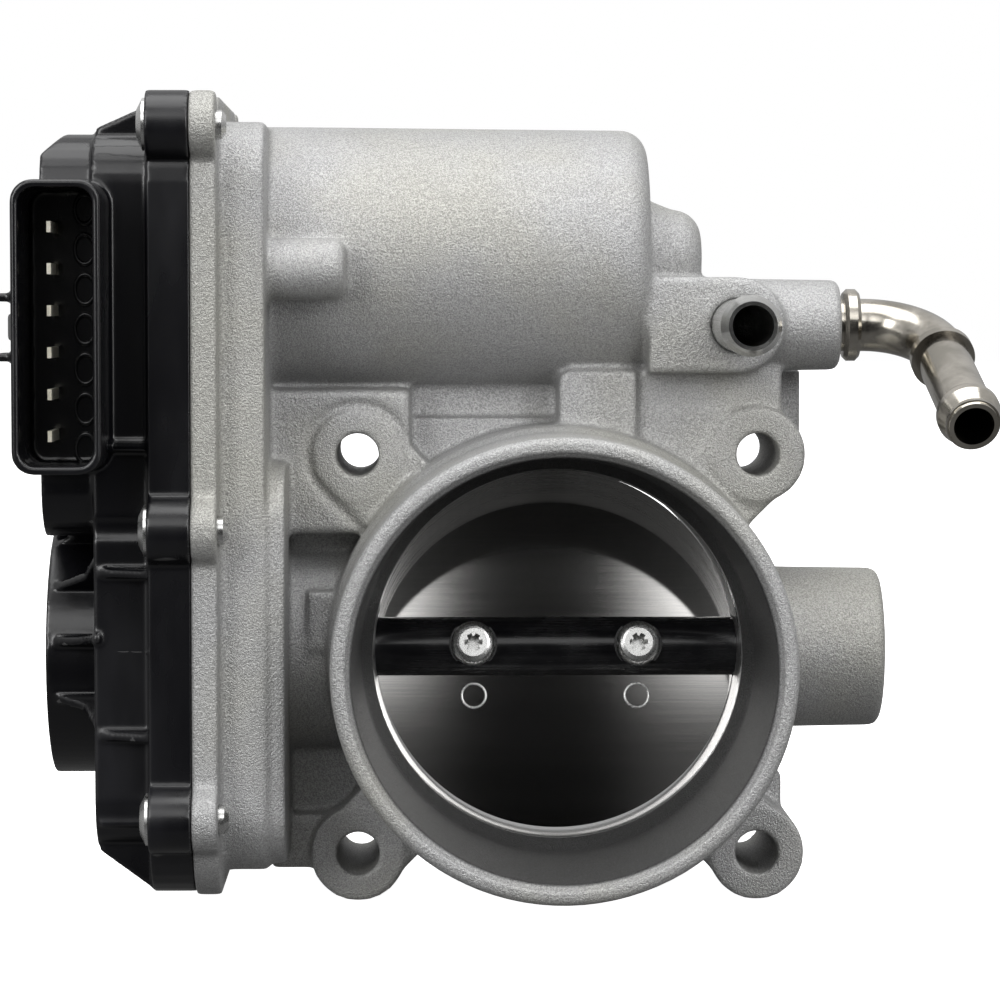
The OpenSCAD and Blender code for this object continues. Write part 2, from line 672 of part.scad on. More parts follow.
module intermediate_gear() {
    gap_turn = 180 + 180 / cluster_teeth;
    color([0.86, 0.84, 0.78]) translate([0, shaft_y, pin_z]) difference() {
        union() {
            slab_x(sector_x0 + 0.2, sector_x1) full_gear(module_2, cluster_teeth, gap_turn);
            slab_x(wheel_x0, wheel_x1) full_gear(module_1, wheel_teeth, 0);
            rod_x(wheel_x1 - 1, sector_x0 + 1, 0, 0, cluster_r - dedendum);
            rod_x(sector_x1 - 1, floor_x - 0.4, 0, 0, pin_d / 2 + 2);
        }
        rod_x(wheel_x0 - 1, floor_x, 0, 0, pin_d / 2 + run_gap);
        for (i = [0:5]) rotate([i * 60, 0, 0]) rod_x(wheel_x0 - 1, wheel_x1 + 0.1, 0, 0.66 * wheel_r, 3.8);
    }
}

module intermediate_pin() {
    color(steel) rod_x(wheel_x0 - 4, -case_x + 4, shaft_y, pin_z, pin_d / 2);
}

// ---- Motor ----

can_wall = 1.2;
// the blades stay inside the can
blade_z = sqrt(pow(motor_r - can_wall - 0.7, 2) - pow(10.6, 2)) - 0.8;
magnet_t = 2.8;
core_r = motor_r - can_wall - magnet_t - 0.5;
core_x0 = can_x0 + 15;
core_x1 = can_x1 - 9;
cap_x0 = can_x0 - 3;
rotor_end_x = wheel_x0 - 0.5;

module motor_can() {
    color([0.62, 0.63, 0.6]) difference() {
        union() {
            rod_x(can_x0 + 0.1, can_x1, shaft_y, motor_z, motor_r);
            rod_x(can_x1 - 1, can_x1 + 6, shaft_y, motor_z, motor_boss_r);
        }
        rod_x(can_x0 - 1, can_x1 - can_wall, shaft_y, motor_z, motor_r - can_wall);
        rod_x(can_x1 - 2, can_x1 + 5, shaft_y, motor_z, motor_shaft_d / 2 + run_gap);
    }
}

module motor_magnets() {
    color([0.25, 0.25, 0.27]) for (s = [90, 270]) translate([0, shaft_y, motor_z]) rotate([s, 0, 0])
        bent_x(core_x0 - 2, core_x1 + 2, motor_r - can_wall - magnet_t, motor_r - can_wall, 124);
}

module motor_end_cap() {
    color([0.14, 0.14, 0.15]) difference() {
        union() {
            rod_x(cap_x0, can_x0 - 0.1, shaft_y, motor_z, motor_r + 0.6);
            rod_x(cap_x0 - 3, cap_x0 + 1, shaft_y, motor_z, 5);
            rod_x(can_x0 - 0.2, can_x0 + 3, shaft_y, motor_z, motor_r - can_wall);
            for (s = [-1, 1]) {
                rod_x(cap_x0, can_x0 - 0.1, shaft_y + s * screw_arm, motor_screw_z, 4.6);
                block([cap_x0, min(shaft_y, shaft_y + s * screw_arm), motor_screw_z - 4.4],
                    [can_x0 - 0.1, max(shaft_y, shaft_y + s * screw_arm), motor_screw_z + 4.4]);
            }
        }
        rod_x(cap_x0 - 4, can_x0 + 4, shaft_y, motor_z, motor_shaft_d / 2 + run_gap);
        for (s = [-1, 1]) rod_x(cap_x0 - 1, can_x0 + 4, shaft_y + s * screw_arm, motor_screw_z, 1.9);
        for (s = [-1, 1]) block([cap_x0 - 1, shaft_y + s * 8 - 2.6, motor_z + blade_z],
            [can_x0 + 4, shaft_y + s * 8 + 2.6, motor_z + blade_z + 0.8]);
    }
}

module motor_brushes() {
    color([0.15, 0.15, 0.15]) for (s = [-1, 1])
        block([can_x0 + 6, shaft_y - 2, motor_z + (s > 0 ? 4.8 : -11.8)],
              [can_x0 + 11, shaft_y + 2, motor_z + (s > 0 ? 11.8 : -4.8)]);
}

module motor_blades() {
    color([0.8, 0.7, 0.4]) for (s = [-1, 1]) block([cap_x0 - 8, shaft_y + s * 8 - 2.6, motor_z + blade_z],
        [can_x0 + 5, shaft_y + s * 8 + 2.6, motor_z + blade_z + 0.8]);
}

module motor_screws() {
    color(steel) for (s = [-1, 1]) difference() {
        union() {
            rod_x(cap_x0 - 0.1, -case_x + 8, shaft_y + s * screw_arm, motor_screw_z, 1.7);
            rod_x(cap_x0 - 2.6, cap_x0, shaft_y + s * screw_arm, motor_screw_z, 3.4);
        }
        translate([cap_x0 - 3, shaft_y + s * screw_arm, motor_screw_z]) for (a = [0, 90]) rotate([a, 0, 0])
            cube([3.2, 4, 0.9], center = true);
    }
}

module motor_wave_washer() {
    color(steel) difference() {
        rod_x(can_x1 + 0.1, can_x1 + 0.9, shaft_y, motor_z, 12);
        rod_x(can_x1, can_x1 + 2, shaft_y, motor_z, 8);
    }
}

module motor_shaft() {
    color(steel) rod_x(rotor_end_x, can_x1 + 4.4, shaft_y, motor_z, motor_shaft_d / 2);
}

// Repeats a child at each slot of the armature, around the motor axis.
module at_slots() {
    poles = 3;
    translate([0, shaft_y, motor_z]) for (i = [0:poles - 1]) rotate([i * 360 / poles + 60, 0, 0]) children();
}

// Laminated core with three poles.
module armature_core() {
    color([0.45, 0.45, 0.47]) difference() {
        rod_x(core_x0, core_x1, shaft_y, motor_z, core_r);
        rod_x(core_x0 - 1, core_x1 + 1, shaft_y, motor_z, motor_shaft_d / 2);
        at_slots() {
            bent_x(core_x0 - 1, core_x1 + 1, slot_r0, slot_r1, 76);
            block([core_x0 - 1, slot_r1 - 1, -1.5], [core_x1 + 1, core_r + 1, 1.5]);
        }
    }
}

slot_r0 = 0.47 * core_r;
slot_r1 = core_r - 1.8;

// One block of windings in each slot, reaching past both ends of the core.
module armature_windings() {
    color([0.72, 0.38, 0.18]) at_slots()
        bent_x(core_x0 - 2.6, core_x1 + 2.6, slot_r0 + 0.3, slot_r1 - 0.3, 72);
}

module commutator() {
    color([0.75, 0.5, 0.3]) difference() {
        rod_x(can_x0 + 5, core_x0 - 3, shaft_y, motor_z, 4.7);
        rod_x(can_x0, core_x0 + 1, shaft_y, motor_z, motor_shaft_d / 2);
        translate([0, shaft_y, motor_z]) for (a = [0, 60, 120]) rotate([a, 0, 0])
            block([can_x0 + 4, -0.2, 4.2], [core_x0 - 4, 0.2, 6]);
    }
}

module pinion_gear() {
    color([0.78, 0.7, 0.45]) translate([0, shaft_y, motor_z]) difference() {
        slab_x(wheel_x0 + 0.1, wheel_x1 + 1.4) full_gear(module_1, pinion_teeth, 180 + 180 / pinion_teeth);
        rod_x(wheel_x0 - 1, wheel_x1 + 3, 0, 0, motor_shaft_d / 2);
    }
}

// ---- Cover ----

// Square bar along Y that cuts an edge of the dome at 45 degrees.
module dome_edge_cut() {
    rotate([0, 45, 0]) cube([dome_chamfer * sqrt(2), 2 * case_h, dome_chamfer * sqrt(2)], center = true);
}

// Solid of the cover; shrink makes the room inside it.
module cover_body(shrink) {
    open_x = joint_x + (shrink > 0 ? 1 : 0);
    slab_x(cover_mid_x + shrink, open_x) polygon(round_rect(case_mid_y, (cover_low + cover_top) / 2,
        case_w - 3 - 2 * shrink, cover_top - cover_low - 2 * shrink, case_corner - 1.5 - shrink));
    // motor dome with its long edges cut off at an angle
    difference() {
        slab_x(dome_x + shrink, open_x) polygon(round_rect(shaft_y - 1, (upper_z0 + dome_top) / 2,
            dome_w - 2 * shrink, dome_top - upper_z0 - 2 * shrink, 9));
        translate([dome_x + shrink, shaft_y, dome_top - shrink]) dome_edge_cut();
        translate([dome_x + shrink, shaft_y - 1 + dome_w / 2 - shrink, motor_z])
            rotate([90, 0, 0]) dome_edge_cut();
    }
    // round dome over the position sensor
    rod_x(sensor_dome_x + shrink, open_x, shaft_y, 0, sensor_dome_r - shrink);
}

// Fins that brace the sensor dome on the middle level, and gussets down to the flange.
module cover_ribs() {
    rib_t = 1.4;
    fin = 10.5;
    for (a = [-160, -118, -90, -62, -34, -8, 18, 168]) translate([0, shaft_y, 0]) rotate([a, 0, 0])
        slab_z(-rib_t / 2, rib_t / 2) polygon([[sensor_dome_x + 1.2, 2 - sensor_dome_r],
            [sensor_dome_x + 1.2, -sensor_dome_r], [cover_mid_x - 2.4, -sensor_dome_r - 3.6],
            [cover_mid_x, -sensor_dome_r - fin], [cover_mid_x + 1, -sensor_dome_r - fin],
            [cover_mid_x + 1, 2 - sensor_dome_r]]);
    for (z = [case_low + 8, case_low + 22, 14, 34]) slab_z(z, z + rib_t) polygon([
        [cover_mid_x + 0.6, case_front + 3], [cover_mid_x + 0.6, case_front + 1.5],
        [joint_x - cover_flange_t, case_front - 2.4],
        [joint_x - cover_flange_t + 1, case_front - 2.4], [joint_x - cover_flange_t + 1, case_front + 3]]);
    for (y = [case_front + 6, case_rear - 8], end = [[cover_low, case_low, -1], [cover_top, case_top, 1]])
        slab_y(y, y + rib_t) polygon([[cover_mid_x + 0.4, end[0] - end[2] * 1.5],
            [cover_mid_x + 0.4, end[0] + end[2] * 0.3], [joint_x - cover_flange_t, end[1] + end[2] * 2.6],
            [joint_x - cover_flange_t + 1, end[1] + end[2] * 2.6],
            [joint_x - cover_flange_t + 1, end[0] - end[2] * 1.5]]);
}

// Repeats a child at each terminal.
module at_terminals() {
    for (i = [0:terminals - 1])
        translate([terminal_x, 0, terminal_z + (i - (terminals - 1) / 2) * terminal_pitch]) children();
}

// Two guide ribs and the catch of the plug's lock, on the outer side of the shroud.
module lock_rail() {
    side_x = shroud_x - shroud_w / 2;
    for (s = [-1, 1])
        block([side_x - lock_reach, shroud_y0 + 1.5, shroud_z + s * lock_gap / 2 - lock_rib_t / 2],
            [side_x + 1, shroud_y0 + 1.5 + lock_depth, shroud_z + s * lock_gap / 2 + lock_rib_t / 2]);
    slab_z(shroud_z - 2.1, shroud_z + 2.1) polygon([[side_x + 1, shroud_y0 + 3], [side_x, shroud_y0 + 3],
        [side_x - 1.1, shroud_y0 + 6.5], [side_x - 1.1, shroud_y0 + 7.5], [side_x, shroud_y0 + 7.5],
        [side_x + 1, shroud_y0 + 7.5]]);
}

module gear_cover() {
    color(black_plastic) difference() {
        union() {
            slab_x(joint_x - cover_flange_t, joint_x) union() {
                case_outline(flange_w - 0.6);
                for (y = [rivet_front, rivet_rear], z = rivet_z) translate([y, z]) circle(r = lug_r);
            }
            cover_body(0);
            cover_ribs();
            // connector shroud and the neck behind it
            slab_y(shroud_y0, dome_front + 2) polygon(round_rect(shroud_x, shroud_z, shroud_w, shroud_l, 3.4));
            lock_rail();
            // boss of the intermediate pin
            rod_x(dome_x + 1, wheel_x0 - 1.2, shaft_y, pin_z, pin_d / 2 + 2.2);
        }
        difference() {
            cover_body(cover_wall);
            rod_x(dome_x, wheel_x0 - 1.2, shaft_y, pin_z, pin_d / 2 + 2.2);
        }
        rod_x(wheel_x0 - 4.5, wheel_x0, shaft_y, pin_z, pin_d / 2 + run_gap);
        slab_y(shroud_y0 - 1, shroud_floor_y) polygon(round_rect(shroud_x, shroud_z, shroud_w - 2 * shroud_wall,
            shroud_l - 2 * shroud_wall, 2.4));
        at_terminals() block([-terminal_t / 2, shroud_floor_y - 2, -terminal_h / 2],
            [terminal_t / 2, dome_front + 6, terminal_h / 2]);
        translate([dome_x - 4, 0, 0]) at_rivets() {
            rotate([0, 90, 0]) cylinder(h = 40, r = rivet_r);
            rotate([0, 90, 0]) cylinder(h = joint_x - cover_flange_t - dome_x + 4, r = 4.4);
        }
        slab_x(hub_end_x - 3.4, hub_end_x - 2.6) polygon(round_rect(shaft_y, 0, 25, 25, 4));
    }
}

module cover_seal() {
    color([0.1, 0.1, 0.1]) slab_x(joint_x + 0.1, joint_x + 1.4) difference() {
        case_outline(-0.7);
        case_outline(-1.8);
    }
}

module cover_rivets() {
    color(steel) at_rivets() {
        turned_x(0, 0) polygon([[0, joint_x - cover_flange_t - 1.6], [2.4, joint_x - cover_flange_t - 1.4],
            [4.15, joint_x - cover_flange_t - 0.5], [4.15, joint_x - cover_flange_t],
            [rivet_r, joint_x - cover_flange_t],
            [rivet_r, joint_x + flange_t], [rivet_tail_r, joint_x + flange_t],
            [rivet_tail_r, joint_x + flange_t + 0.9],
            [rivet_r - 0.7, joint_x + flange_t + 1.6], [0, joint_x + flange_t + 1.6]]);
    }
}

module connector_terminals() {
    color([0.8, 0.76, 0.6]) at_terminals() block([-terminal_t / 2, shroud_y0 + terminal_recess, -terminal_h / 2],
        [terminal_t / 2, dome_front + 6, terminal_h / 2]);
}

module hall_sensor() {
    color([0.1, 0.3, 0.16]) slab_x(hub_end_x - 3.4, hub_end_x - 2.6) polygon(round_rect(shaft_y, 0, 25, 25, 4));
}

// ---- Seals and coolant fittings ----

module manifold_seal() {
    color([0.1, 0.1, 0.1]) rotate([90, 0, 0]) difference() {
        translate([0, 0, 0.05]) cylinder(h = 2.35, r = bore_r + 6.1);
        translate([0, 0, -1]) cylinder(h = 8, r = bore_r + 3.5);
    }
}

// Hose nipple profile along +Z: seat, body, bead and a chamfered tip.
module nipple_profile(length, seat) {
    r = hose_d / 2;
    polygon(concat([[hose_bore_d / 2, -seat], [r, -seat], [r, length - 5.5]],
        [[r + 0.5, length - 4.4], [r + 0.5, length - 3.4], [r - 0.1, length - 1.6], [r - 0.5, length]],
        [[hose_bore_d / 2, length]]));
}

module coolant_nipple() {
    color([0.7, 0.7, 0.7]) translate([nipple_x, pad_y, coolant_z]) rotate([90, 0, 0])
        rotate_extrude() nipple_profile(nipple_length, seat_depth);
}

elbow_first_leg = 4;

// Round bar that follows the elbow's first leg, bend and straight leg.
module elbow_bar(r, start, leg) {
    translate([start, 0, 0]) rotate([0, 90, 0]) cylinder(h = elbow_first_leg - start, r = r);
    translate([elbow_first_leg, -elbow_r, 0]) rotate([0, 0, 90 - elbow_turn])
        rotate_extrude(angle = elbow_turn) translate([elbow_r, 0]) circle(r = r);
    elbow_end() cylinder(h = leg, r = r);
}

// Places a child at the end of the bend, with +Z along the straight leg.
module elbow_end() {
    translate([elbow_first_leg, -elbow_r, 0]) rotate([0, 0, 90 - elbow_turn])
        translate([elbow_r, 0, 0]) rotate([90, 0, 0]) children();
}

module coolant_elbow() {
    r = hose_d / 2;
    ring_r = r + 1.6;
    bead_r = r + 0.8;
    color([0.72, 0.7, 0.66]) translate([coolant_boss_x, coolant_y, coolant_z]) rotate([elbow_drop, 0, 0])
        difference() {
            union() {
                elbow_bar(r, -seat_depth, elbow_leg - 0.5);
                // swaged ring beside the casting
                rotate([0, 90, 0]) rotate_extrude() polygon([[0, 0.7], [ring_r - 0.6, 0.7], [ring_r, 1.3],
                    [ring_r, 2.7], [ring_r - 0.6, 3.3], [0, 3.3]]);
                // hose stop and the bead near the tip
                elbow_end() rotate_extrude() polygon([[0, 1.2], [r + 0.9, 1.2], [r + 0.9, 2.8], [0, 2.8]]);
                elbow_end() rotate_extrude() polygon([[0, elbow_leg - 7], [r - 0.2, elbow_leg - 7],
                    [bead_r, elbow_leg - 4.8], [bead_r, elbow_leg - 3.6], [r - 0.4, elbow_leg], [0, elbow_leg]]);
            }
            elbow_bar(hose_bore_d / 2, -seat_depth - 1, elbow_leg + 2);
        }
}

throttle_housing();
gear_cover();
cover_seal();
cover_rivets();
connector_terminals();
hall_sensor();
manifold_seal();
coolant_nipple();
coolant_elbow();
shaft_end_plug();
throttle_shaft();
throttle_plate();
plate_screws();
throttle_gear();
gear_nut();
sensor_magnets();
bearing_inner_ring();
bearing_outer_ring();
bearing_balls();
needle_cup();
needle_rollers();
shaft_seals();
return_spring();
stop_pins();
intermediate_gear();
intermediate_pin();
motor_can();
motor_magnets();
motor_end_cap();
motor_brushes();
motor_blades();
motor_screws();
motor_wave_washer();
motor_shaft();
armature_core();
armature_windings();
commutator();
pinion_gear();
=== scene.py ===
"""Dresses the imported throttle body: castings, mouldings, finishes and a small studio."""
import json
import logging
import math
from dataclasses import dataclass, field
from enum import Enum
from typing import Callable, Iterable, Optional, Protocol, Sequence, Union

import bpy
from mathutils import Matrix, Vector


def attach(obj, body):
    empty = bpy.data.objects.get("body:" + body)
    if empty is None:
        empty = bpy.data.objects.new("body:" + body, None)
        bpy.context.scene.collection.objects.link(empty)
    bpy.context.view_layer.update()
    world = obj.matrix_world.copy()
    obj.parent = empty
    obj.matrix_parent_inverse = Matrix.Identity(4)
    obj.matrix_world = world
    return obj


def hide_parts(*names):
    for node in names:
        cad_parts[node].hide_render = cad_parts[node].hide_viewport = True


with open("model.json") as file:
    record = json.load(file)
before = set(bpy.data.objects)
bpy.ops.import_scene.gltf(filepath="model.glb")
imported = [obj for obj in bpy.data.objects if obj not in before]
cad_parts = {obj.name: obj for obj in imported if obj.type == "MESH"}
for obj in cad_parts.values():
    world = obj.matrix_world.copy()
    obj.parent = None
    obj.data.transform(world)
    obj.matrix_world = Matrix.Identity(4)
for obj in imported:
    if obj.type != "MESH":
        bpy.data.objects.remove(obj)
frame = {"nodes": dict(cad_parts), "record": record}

MM = 0.001
Colour = tuple[float, float, float]
Point = tuple[float, float, float]
Socket = bpy.types.NodeSocket
Paint = Union[Colour, Socket]

logging.basicConfig(level=logging.INFO, format="%(message)s")
log = logging.getLogger("throttle_body")


class Body(Enum):
    """Bodies of the frame that new pieces ride on."""

    HOUSING = "body"
    THROTTLE = "throttle"


class Axis(Enum):
    """Main directions of the frame."""

    X = (1.0, 0.0, 0.0)
    Y = (0.0, 1.0, 0.0)
    Z = (0.0, 0.0, 1.0)


class Coat(Enum):
    """How a plated or coated metal part looks."""

    ZINC = "zinc"
    NICKEL = "nickel"
    BLACK = "black"
    BARE = "bare"


# ---- Node graphs ----


class Graph:
    """A node tree with the small tools that every look shares."""

    def __init__(self, tree: bpy.types.NodeTree) -> None:
        """Takes hold of a tree.

        Args:
            tree: Node tree of a material or of the surroundings.
        """
        self.nodes = tree.nodes
        self.links = tree.links

    def plug(self, target: Socket, value: Union[Paint, float]) -> None:
        """Links a socket, or sets a colour or a number on the target itself."""
        if isinstance(value, bpy.types.NodeSocket):
            self.links.new(value, target)
        elif isinstance(value, tuple) and len(target.default_value) == 4:
            target.default_value = (*value, 1.0)
        else:
            target.default_value = value

    def span(self, value: Socket, low: float, high: float, out_low: float = 0.0,
             out_high: float = 1.0) -> Socket:
        """Maps a value between two numbers smoothly to a new range and clamps it."""
        node = self.nodes.new("ShaderNodeMapRange")
        node.interpolation_type = "SMOOTHSTEP"
        ends = (("From Min", low), ("From Max", high), ("To Min", out_low), ("To Max", out_high))
        for name, number in ends:
            node.inputs[name].default_value = number
        self.links.new(value, node.inputs["Value"])
        return node.outputs["Result"]

    def sum(self, first: Union[Socket, float], second: Union[Socket, float] = 0.0,
            kind: str = "ADD") -> Socket:
        """Joins two numbers by an operation of the math node."""
        node = self.nodes.new("ShaderNodeMath")
        node.operation = kind
        self.plug(node.inputs[0], first)
        self.plug(node.inputs[1], second)
        return node.outputs[0]

    def times(self, *factors: Union[Socket, float]) -> Socket:
        """Multiplies two or more numbers."""
        product = factors[0]
        for factor in factors[1:]:
            product = self.sum(product, factor, "MULTIPLY")
        return product

    def split(self, vector: Socket) -> dict[str, Socket]:
        """Returns the three parts of a vector by the name of their axis."""
        node = self.nodes.new("ShaderNodeSeparateXYZ")
        self.links.new(vector, node.inputs[0])
        return {axis.name: node.outputs[axis.name] for axis in Axis}


class Bench(Graph):
    """Puts one procedural material together from nodes."""

    def __init__(self, name: str) -> None:
        """Starts a material with a shader and the object's own coordinates.

        Args:
            name: Name of the material.
        """
        self.material = bpy.data.materials.new(name)
        self.material.use_nodes = True
        super().__init__(self.material.node_tree)
        self.shader = self.nodes["Principled BSDF"]
        self.coords: Socket = self.nodes.new("ShaderNodeTexCoord").outputs["Object"]

    def constants(self, **values: float) -> None:
        """Sets fixed numbers on the shader; an underscore stands for a space."""
        for name, value in values.items():
            self.shader.inputs[name.replace("_", " ").title()].default_value = value

    def stretched(self, scale: Point, turn: Point = (0.0, 0.0, 0.0)) -> Socket:
        """Returns the coordinates scaled and turned for a directional pattern.

        Args:
            scale: Factor along each axis.
            turn: Turn about each axis, in radians.

        Returns:
            The vector socket.
        """
        node = self.nodes.new("ShaderNodeMapping")
        node.inputs["Scale"].default_value = scale
        node.inputs["Rotation"].default_value = turn
        self.links.new(self.coords, node.inputs["Vector"])
        return node.outputs["Vector"]

    def noise(self, per_metre: float, detail: float = 2.0, rough: float = 0.5,
              vector: Optional[Socket] = None) -> Socket:
        """Returns cloud noise.

        Args:
            per_metre: How many features fit in a metre.
            detail: Octaves.
            rough: Weight of the finer octaves.
            vector: Coordinates, the object's own if none are given.

        Returns:
            The factor socket.
        """
        node = self.nodes.new("ShaderNodeTexNoise")
        node.inputs["Scale"].default_value = per_metre
        node.inputs["Detail"].default_value = detail
        node.inputs["Roughness"].default_value = rough
        self.links.new(vector or self.coords, node.inputs["Vector"])
        return node.outputs["Fac"]

    def cells(self, per_metre: float, vector: Optional[Socket] = None) -> Socket:
        """Returns the distance to the nearest of scattered points."""
        node = self.nodes.new("ShaderNodeTexVoronoi")
        node.inputs["Scale"].default_value = per_metre
        self.links.new(vector or self.coords, node.inputs["Vector"])
        return node.outputs["Distance"]

    def bands(self, per_metre: float, axis: Axis, warp: float = 0.0) -> Socket:
        """Returns soft parallel bands across an axis, as on laminations or wire."""
        node = self.nodes.new("ShaderNodeTexWave")
        node.bands_direction = axis.name
        node.inputs["Scale"].default_value = per_metre / 20 * math.tau / 2
        node.inputs["Distortion"].default_value = warp
        self.links.new(self.coords, node.inputs["Vector"])
        return node.outputs["Fac"]

    def mix(self, factor: Union[Socket, float], first: Paint, second: Paint, blend: str = "MIX") -> Socket:
        """Mixes two colours.

        Args:
            factor: Share of the second colour.
            first: Colour or socket.
            second: Colour or socket.
            blend: Blending mode of the node.

        Returns:
            The colour socket.
        """
        node = self.nodes.new("ShaderNodeMix")
        node.data_type = "RGBA"
        node.blend_type = blend
        self.plug(node.inputs[0], factor)
        self.plug(node.inputs[6], first)
        self.plug(node.inputs[7], second)
        return node.outputs[2]

    def part(self, axis: Axis) -> Socket:
        """Returns one coordinate of the point, in metres."""
        return self.split(self.coords)[axis.name]

    def radius(self, across: Point) -> Socket:
        """Returns the distance from an axis through the origin.

        Args:
            across: 1 for each axis that counts and 0 along the axis itself.

        Returns:
            The distance socket, in metres.
        """
        flat = self.nodes.new("ShaderNodeVectorMath")
        flat.operation = "MULTIPLY"
        self.links.new(self.coords, flat.inputs[0])
        flat.inputs[1].default_value = across
        size = self.nodes.new("ShaderNodeVectorMath")
        size.operation = "LENGTH"
        self.links.new(flat.outputs[0], size.inputs[0])
        return size.outputs["Value"]

    def relief(self, height: Socket, depth: float, strength: Union[Socket, float] = 1.0,
               under: Optional[Socket] = None) -> Socket:
        """Returns a normal that follows a height.

        Args:
            height: The height factor.
            depth: Depth of the relief in metres.
            strength: Weight of the relief.
            under: Normal of a coarser relief below this one.

        Returns:
            The normal socket.
        """
        node = self.nodes.new("ShaderNodeBump")
        node.inputs["Distance"].default_value = depth
        self.plug(node.inputs["Strength"], strength)
        self.links.new(height, node.inputs["Height"])
        if under is not None:
            self.links.new(under, node.inputs["Normal"])
        return node.outputs["Normal"]

    def finish(self, colour: Paint, roughness: Union[Socket, float], normal: Optional[Socket] = None,
               metallic: Union[Socket, float] = 0.0) -> bpy.types.Material:
        """Plugs the main channels in and returns the material."""
        self.plug(self.shader.inputs["Base Color"], colour)
        self.plug(self.shader.inputs["Roughness"], roughness)
        self.plug(self.shader.inputs["Metallic"], metallic)
        if normal is not None:
            self.links.new(normal, self.shader.inputs["Normal"])
        return self.material


def grey(value: float, warm: float = 0.0) -> Colour:
    """Returns a grey, made a little warmer or colder."""
    return (value * (1 + warm), value, value * (1 - 1.6 * warm))


# ---- Finishes ----


@dataclass(frozen=True)
class CastAluminium:
    """Shot-blasted die casting with a sandy skin and machined faces, and painted shade that darkens the
    inlet throat.
    """

    skin: float = 0.365
    grain_per_metre: float = 5200.0
    metallic: float = 0.5
    rough: float = 0.5
    throat_r: float = 33.9 * MM
    throat_y: float = -65.0 * MM
    bore_r: float = 30.35 * MM
    face_y: float = -0.12 * MM
    face_back_y: float = 0.1 * MM
    boss_end_x: float = 53.8 * MM
    edge: float = 0.1 * MM

    def make(self, name: str) -> bpy.types.Material:
        """Returns the material."""
        bench = Bench(name)
        grain = bench.noise(self.grain_per_metre, 2.0, 0.65)
        crumbs = bench.noise(self.grain_per_metre * 0.5, 2.0, 0.5)
        cloud = bench.noise(26.0, 3.0, 0.55)
        smudge = bench.noise(90.0, 4.0, 0.6)
        sand = bench.sum(grain, bench.times(crumbs, 0.5))
        tone = bench.mix(bench.span(sand, 0.52, 1.0), grey(self.skin * 0.72), grey(self.skin * 1.28))
        tone = bench.mix(bench.span(cloud, 0.4, 0.68, 0.0, 1.0), tone,
                         bench.mix(1.0, tone, (1.0, 0.99, 0.92), "MULTIPLY"))
        tone = bench.mix(bench.span(smudge, 0.5, 0.8, 0.0, 0.2), tone,
                         bench.mix(1.0, tone, (0.72, 0.71, 0.68), "MULTIPLY"))
        away = bench.radius((1, 0, 1))
        along = bench.part(Axis.Y)
        # Painted shade: this mask picks the inlet throat past the lip, whose colour is darkened almost to
        # black to stand in for the shade inside the bore; it also makes the throat rougher and not metallic.
        inside = bench.times(bench.span(away, self.throat_r - 5 * self.edge, self.throat_r, 1.0, 0.0),
                             bench.span(along, self.throat_y - 5 * self.edge, self.throat_y + 5 * self.edge))
        ground = bench.span(away, self.bore_r - self.edge, self.bore_r, 1.0, 0.0)
        manifold = bench.times(bench.span(along, self.face_y - self.edge, self.face_y),
                               bench.span(along, self.face_back_y, self.face_back_y + self.edge, 1.0, 0.0))
        boss_end = bench.span(bench.part(Axis.X), self.boss_end_x, self.boss_end_x + self.edge)
        faces = bench.sum(bench.sum(manifold, boss_end, "MAXIMUM"), ground, "MAXIMUM")
        rings = bench.noise(2600.0, 1.0, 0.4, bench.stretched((0.02, 1.0, 0.02)))
        # Painted shade: near-black colour of the throat, with faint darker turning rings.
        painted_throat_shade = bench.mix(bench.span(grain, 0.35, 0.68), grey(self.skin * 0.03), grey(self.skin * 0.13))
        painted_throat_shade = bench.mix(bench.span(rings, 0.4, 0.6, 0.0, 0.3), painted_throat_shade, grey(self.skin * 0.08))
        tone = bench.mix(inside, tone, painted_throat_shade)
        tone = bench.mix(faces, tone, bench.mix(bench.span(grain, 0.3, 0.7), grey(0.52), grey(0.62)))
        rough = bench.span(sand, 0.5, 1.0, self.rough + 0.12, self.rough - 0.1)
        rough = bench.mix(inside, rough, bench.span(grain, 0.3, 0.7, 0.66, 0.5))
        rough = bench.mix(faces, rough, bench.span(rings, 0.3, 0.7, 0.26, 0.36))
        fade = bench.span(faces, 0.0, 1.0, 1.0, 0.2)
        coarse = bench.relief(crumbs, 0.16 * MM, fade)
        fine = bench.relief(grain, 0.08 * MM, fade, coarse)
        metal = bench.sum(bench.span(inside, 0.0, 1.0, self.metallic, 0.0), ground, "MAXIMUM")
        return bench.finish(tone, rough, fine, metal)


@dataclass(frozen=True)
class MouldedPlastic:
    """Glossy black glass-filled moulding with a faint haze and painted highlights along its sharper edges.
    """

    colour: Colour = (0.0028, 0.0028, 0.0038)
    haze: Colour = (0.009, 0.009, 0.012)
    gloss: float = 0.2

    def make(self, name: str) -> bpy.types.Material:
        """Returns the material."""
        bench = Bench(name)
        flow = bench.noise(38.0, 4.0, 0.6, bench.stretched((1.0, 1.0, 0.35)))
        skin = bench.noise(2100.0, 2.0, 0.5)
        dust = bench.cells(900.0)
        tone = bench.mix(bench.span(flow, 0.45, 0.8), self.colour, self.haze)
        tone = bench.mix(bench.span(dust, 0.05, 0.0, 0.0, 0.5), tone, grey(0.10))
        # Painted highlight: sharp edges, found by pointiness, are lightened to stand in for the light that
        # the rounded edges catch.
        edge = bench.nodes.new("ShaderNodeNewGeometry").outputs["Pointiness"]
        tone = bench.mix(bench.span(edge, 0.53, 0.62, 0.0, 0.7), tone, grey(0.09))
        rough = bench.span(flow, 0.3, 0.75, self.gloss, self.gloss + 0.2)
        wave = bench.relief(bench.noise(160.0, 2.0), 0.05 * MM, 0.5)
        fine = bench.relief(skin, 0.012 * MM, 0.6, wave)
        return bench.finish(tone, rough, fine)


